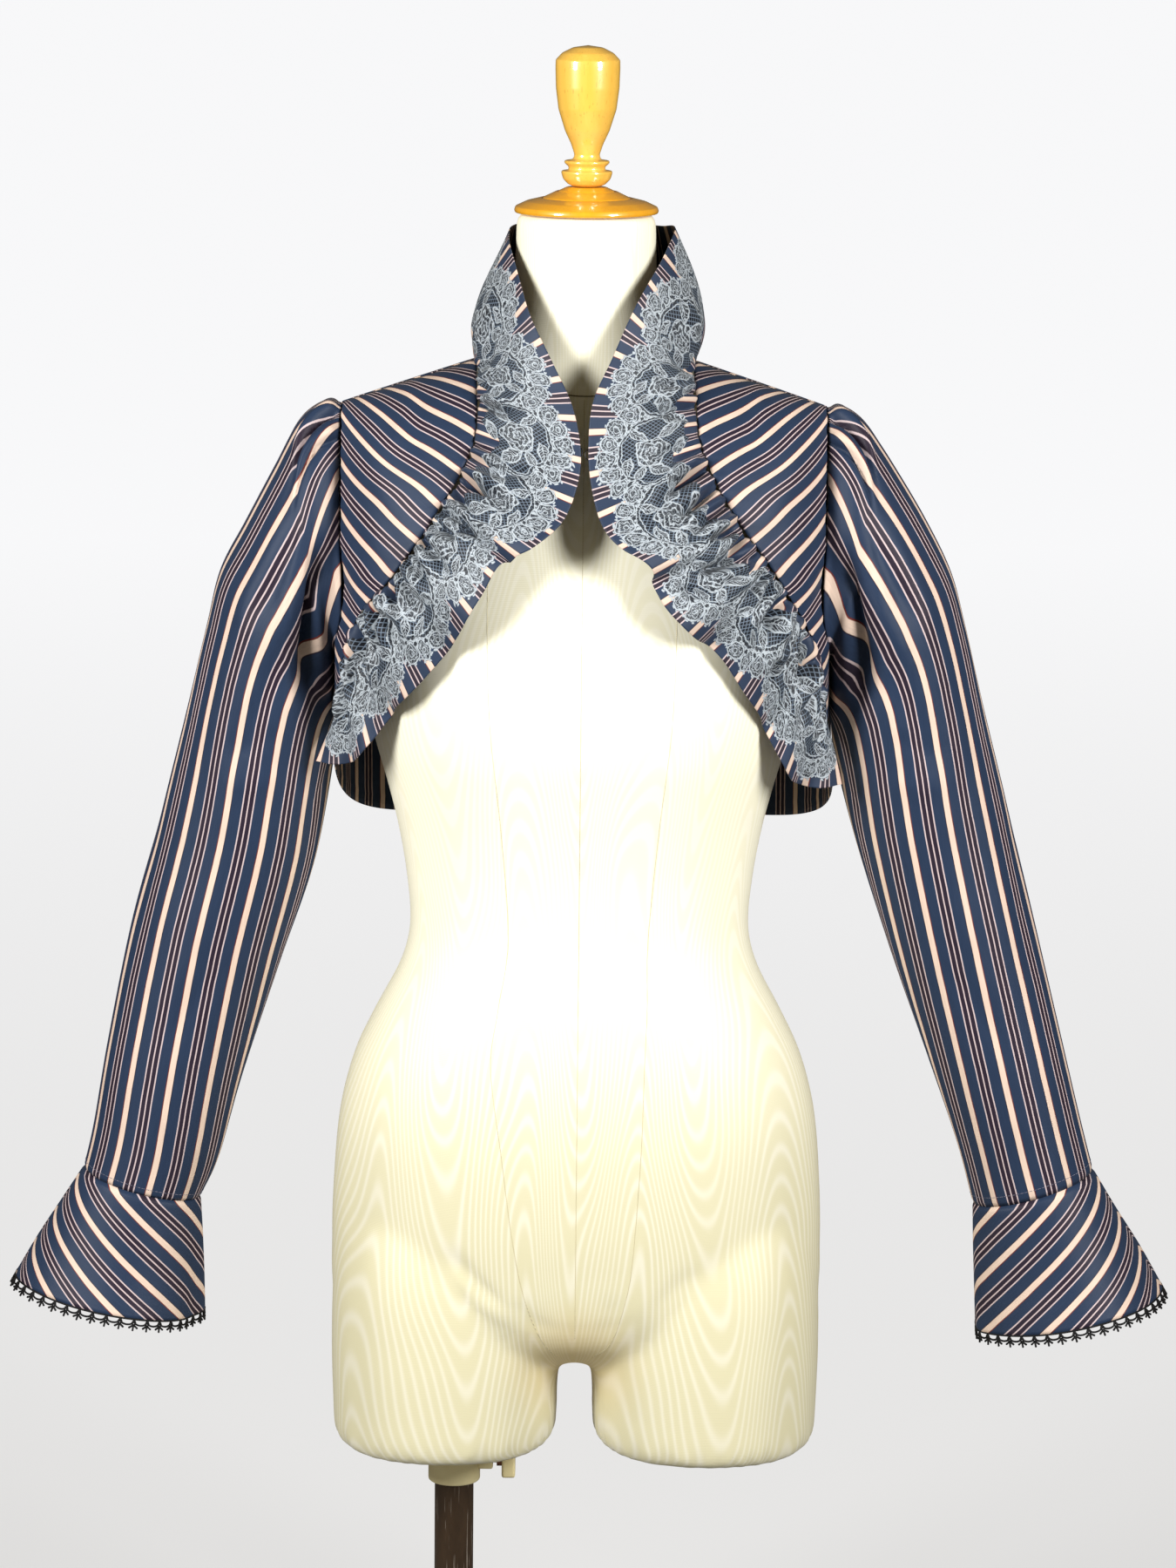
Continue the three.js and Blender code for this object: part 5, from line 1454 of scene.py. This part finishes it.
# turned parts: a profile with rounded corners, spun round an upright axis
def roundedProfile(corners, radius, steps=4):
    points = [np.array(corner, float) for corner in corners]
    made = [points[0]]
    for before, corner, after in zip(points, points[1:], points[2:]):
        back, on = before - corner, after - corner
        reach = min(radius, np.linalg.norm(back) * 0.45, np.linalg.norm(on) * 0.45)
        first = corner + back / np.linalg.norm(back) * reach
        last = corner + on / np.linalg.norm(on) * reach
        for t in np.linspace(0, 1, steps):
            made.append(mix(mix(first, corner, t), mix(corner, last, t), t))
    return made + [points[-1]]


def turnedPiece(name, profile, radius, material, body, slot, node, x=0):
    mesh = bmesh.new()
    verts = [mesh.verts.new((x * mm + r * mm, 0, z * mm)) for r, z in roundedProfile(profile, radius)]
    edges = [mesh.edges.new(pair) for pair in zip(verts, verts[1:])]
    bmesh.ops.spin(
        mesh, geom=verts + edges, cent=(x * mm, 0, 0), axis=(0, 0, 1), angle=fullTurn, steps=72,
    )
    bmesh.ops.remove_doubles(mesh, verts=mesh.verts, dist=1e-6)
    bmesh.ops.recalc_face_normals(mesh, faces=mesh.faces)
    piece = finishMesh(name, mesh, smooth=True)
    piece.data.materials.append(material)
    placed(piece, body, slot, node)


capProfile = [
    (0, 1221.9), (47.4, 1221.9), (48, 1223.5), (47.2, 1226), (40, 1229.4), (30.3, 1231.8), (29.6, 1230.6),
    (28.6, 1232.1), (19.9, 1236.3), (19.2, 1235.2), (18.2, 1236.6), (13, 1239), (0, 1239),
]
knobProfile = [
    (0, 1239.3), (9, 1239.3), (12.5, 1240.8), (15.8, 1244.2), (17, 1248.5), (16.6, 1249.6),
    (12.3, 1250.2), (12.1, 1252.2), (15, 1254.8), (14.8, 1256.3), (9.3, 1257.2), (8.3, 1260),
    (10.6, 1267), (14.8, 1276), (19.2, 1290), (21, 1304), (21.4, 1317), (21.3, 1322.4), (20.2, 1323.6),
    (17, 1327), (10, 1330.5), (0, 1332),
]
stand = {
    "poleX": -83, "poleRadius": 13.5, "poleTop": 573, "poleFoot": 10,
    "baseRadius": 172, "baseThick": 9, "hubFoot": 30, "hubTop": 19, "hubHeight": 36,
    "socketRadius": 18, "socketBottom": 343, "socketTop": 377.7,
    "screwZ": 358, "screwRadius": 3, "holeRadius": 3.4, "earReach": 27, "earDepth": 7,
    "earTop": 364, "earBottom": 352, "screwTip": 14.1, "collarStart": 29.5, "collarRadius": 5.2,
    "wingStart": 33, "wingEnd": 42.4, "wingHalf": 12, "wingDepth": 8, "blockBevel": 2.2,
}

lying = Matrix.Rotation(math.pi / 2, 4, "Y")


def screwPlace(start, end):  # on the clamp screw, midway between two distances from the pole's middle
    return Vector((stand["poleX"] + (start + end) / 2, 0, stand["screwZ"])) * mm


def standParts():
    s = stand
    turnedPiece("neck_disc", capProfile, 0.7, capWood, "form", "cap_wood", "neck_cap")
    turnedPiece("turned_knob", knobProfile, 1.2, knobWood, "form", "knob_wood", "knob")
    turnedPiece("round_base", [
        (0, 0), (s["baseRadius"], 0), (s["baseRadius"], s["baseThick"] - 2),
        (s["baseRadius"] - 6, s["baseThick"]), (0, s["baseThick"]),
    ], 2.2, baseMetal, "base", "base_metal", "stand_base")
    bore = s["poleRadius"] + 0.4
    turnedPiece("base_hub", [
        (bore, s["poleFoot"]), (s["hubFoot"], s["baseThick"] - 1), (s["hubFoot"], s["baseThick"] + 3),
        (s["hubTop"] + 1, s["hubHeight"] - 4), (s["hubTop"], s["hubHeight"]), (bore, s["hubHeight"]),
        (bore, s["poleFoot"]),
    ], 1.6, baseMetal, "base", "base_metal", "stand_base", s["poleX"])
    turnedPiece("pole_tube", [
        (0, s["poleFoot"]), (s["poleRadius"], s["poleFoot"]), (s["poleRadius"], s["poleTop"]),
        (0, s["poleTop"]),
    ], 1.5, poleMetal, "pole", "pole_metal", "stand_pole", s["poleX"])
    turnedPiece("pole_socket", [
        (form["boreRadius"], s["socketTop"]), (form["boreRadius"], s["socketBottom"]),
        (s["socketRadius"], s["socketBottom"]), (s["socketRadius"], s["socketTop"]),
        (form["boreRadius"], s["socketTop"]),
    ], 2.4, plastic, "form", "socket_plastic", "stand_socket", s["poleX"])
    ear = (s["socketRadius"] - 2, s["earReach"], s["earDepth"], (s["earTop"] - s["earBottom"]) / 2)
    blockPiece("socket_ear", "form", "stand_socket", plastic, ear, s["holeRadius"])
    wing = (s["wingStart"], s["wingEnd"], s["wingDepth"], s["wingHalf"])
    blockPiece("screw_wing", "clamp", "stand_screw", plastic, wing)
    mesh = bmesh.new()
    for radius, start, end in (
        (s["screwRadius"], s["screwTip"], s["collarStart"] + 1),
        (s["collarRadius"], s["collarStart"], s["wingStart"] + 1),
    ):
        cylinder(mesh, radius, end - start, Matrix.Translation(screwPlace(start, end)) @ lying)
    stem = finishMesh("screw_stem", mesh)
    stem.data.materials.append(rustMetal)
    placed(stem, "clamp", "socket_plastic", "stand_screw")


def blockPiece(name, body, node, material, block, hole=0):
    start, end, depth, half = block
    middle = screwPlace(start, end)
    size = Vector((end - start, depth * 2, half * 2)) * mm
    mesh = bmesh.new()
    bmesh.ops.create_cube(mesh, size=1, matrix=Matrix.LocRotScale(middle, None, size))
    bmesh.ops.bevel(
        mesh, geom=mesh.edges, offset=stand["blockBevel"] * mm, segments=4, profile=0.6,
        affect="EDGES", clamp_overlap=True,
    )
    piece = finishMesh(name, mesh, smooth=True)
    if hole:
        drill(piece, hole, 200, Matrix.Translation(middle) @ lying)
    piece.data.materials.append(material)
    placed(piece, body, "socket_plastic", node)


# the hook on one frill and the eye on the other, bent from wire
def fastenerPiece(name, node, side):
    low, high = (np.array(corner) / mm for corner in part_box(node))
    middle, size = (low + high) / 2, high - low
    turn = np.linspace(0.5 * math.pi, 1.5 * math.pi, 15)
    tip = np.stack([np.cos(turn) * size[0] * 0.3, np.sin(turn)], axis=1)
    outline = [(size[0] * 0.42, 1), (size[0] * 0.1, 1), *(tip - [size[0] * 0.1, 0]), (size[0] * 0.42, -1)]
    path = np.array([
        (middle[0] + side * out, middle[1] + up * size[1] * 0.36, middle[2] + up * size[2] * 0.42)
        for out, up in outline
    ])
    piece = cordMesh(name, [(path, False)], 0.4, 8)
    piece.data.materials.append(wireMetal)
    placed(piece, "form", "fastener_wire", node)


formCover = formPiece()
coverSeams(formCover)
standParts()
fastenerPiece("eye_wire", "eye", -1)
fastenerPiece("hook_wire", "hook", 1)
print("form and stand ready")


# floor, light and camera
studio = {
    "floor": 0.3, "floorSize": 160, "floorNear": srgb(182, 181, 180), "floorFar": srgb(246, 247, 250),
    "near": 800, "far": 7600, "glow": 1.08, "world": (1.0, 0.86, 0.56), "worldStrength": 0.16,
    # each lamp: watts, place, width, height
    "lamps": [(47, (-1270, -1250, 1570), 400, 760), (44, (1250, -1270, 1570), 400, 760)], "aim": (0, 0, 1060),
}
camera = {"place": (5, -3435.7, 1503.8), "pitch": 11, "roll": 0.6, "lens": 118.64}


def floorPiece():
    mesh = bmesh.new()
    bmesh.ops.create_grid(mesh, x_segments=1, y_segments=1, size=studio["floorSize"] / 2)
    floor = finishMesh("floor", mesh)
    material, tree, shader = newMaterial("pale floor", roughness=0.8, Specular_IOR_Level=0.05)
    shader.inputs["Base Color"].default_value = (studio["floor"],) * 3 + (1,)
    # a lit studio sweep: it glows for the camera, and is a dull floor for everything else
    y = separated(tree, objectCoordinates(tree))[1]
    away = (y * 1000 + studio["near"]) / studio["near"]
    share = away.math("LOGARITHM", 10.0) / math.log10(studio["far"] / studio["near"])
    glow = colourMix(tree, studio["floorNear"], studio["floorFar"], share)
    seen = tree.nodes.new("ShaderNodeLightPath")
    strength = Wire(tree, seen.outputs["Is Camera Ray"]) * (studio["glow"] - studio["floor"] * 0.4)
    tree.links.new(glow.socket, shader.inputs["Emission Color"])
    tree.links.new(strength.socket, shader.inputs["Emission Strength"])
    floor.data.materials.append(material)


floorPiece()
world = bpy.data.worlds.new("pale studio")
world.use_nodes = True
world.node_tree.nodes["Background"].inputs["Color"].default_value = (*studio["world"], 1)
world.node_tree.nodes["Background"].inputs["Strength"].default_value = studio["worldStrength"]
scene.world = world

for watts, place, width, height in studio["lamps"]:
    lamp = bpy.data.lights.new("lamp", "AREA")
    lamp.shape = "RECTANGLE"
    lamp.energy = watts
    lamp.size, lamp.size_y = width * mm, height * mm
    lampObject = bpy.data.objects.new("lamp", lamp)
    aim = Vector(studio["aim"]) - Vector(place)
    lampObject.rotation_euler = aim.to_track_quat("-Z", "Y").to_euler()
    lampObject.location = Vector(place) * mm
    scene.collection.objects.link(lampObject)

lens = bpy.data.cameras.new("camera")
lens.lens = camera["lens"]
lens.sensor_width = 36
lens.clip_start, lens.clip_end = 0.05, 400
cameraObject = bpy.data.objects.new("camera", lens)
scene.collection.objects.link(cameraObject)
level = Matrix.Rotation(math.radians(90 - camera["pitch"]), 4, "X")
roll = Matrix.Rotation(math.radians(camera["roll"]), 4, "Z")
cameraObject.matrix_world = Matrix.Translation(Vector(camera["place"]) * mm) @ level @ roll
scene.camera = cameraObject
scene.view_settings.view_transform = "Standard"
print("studio ready")
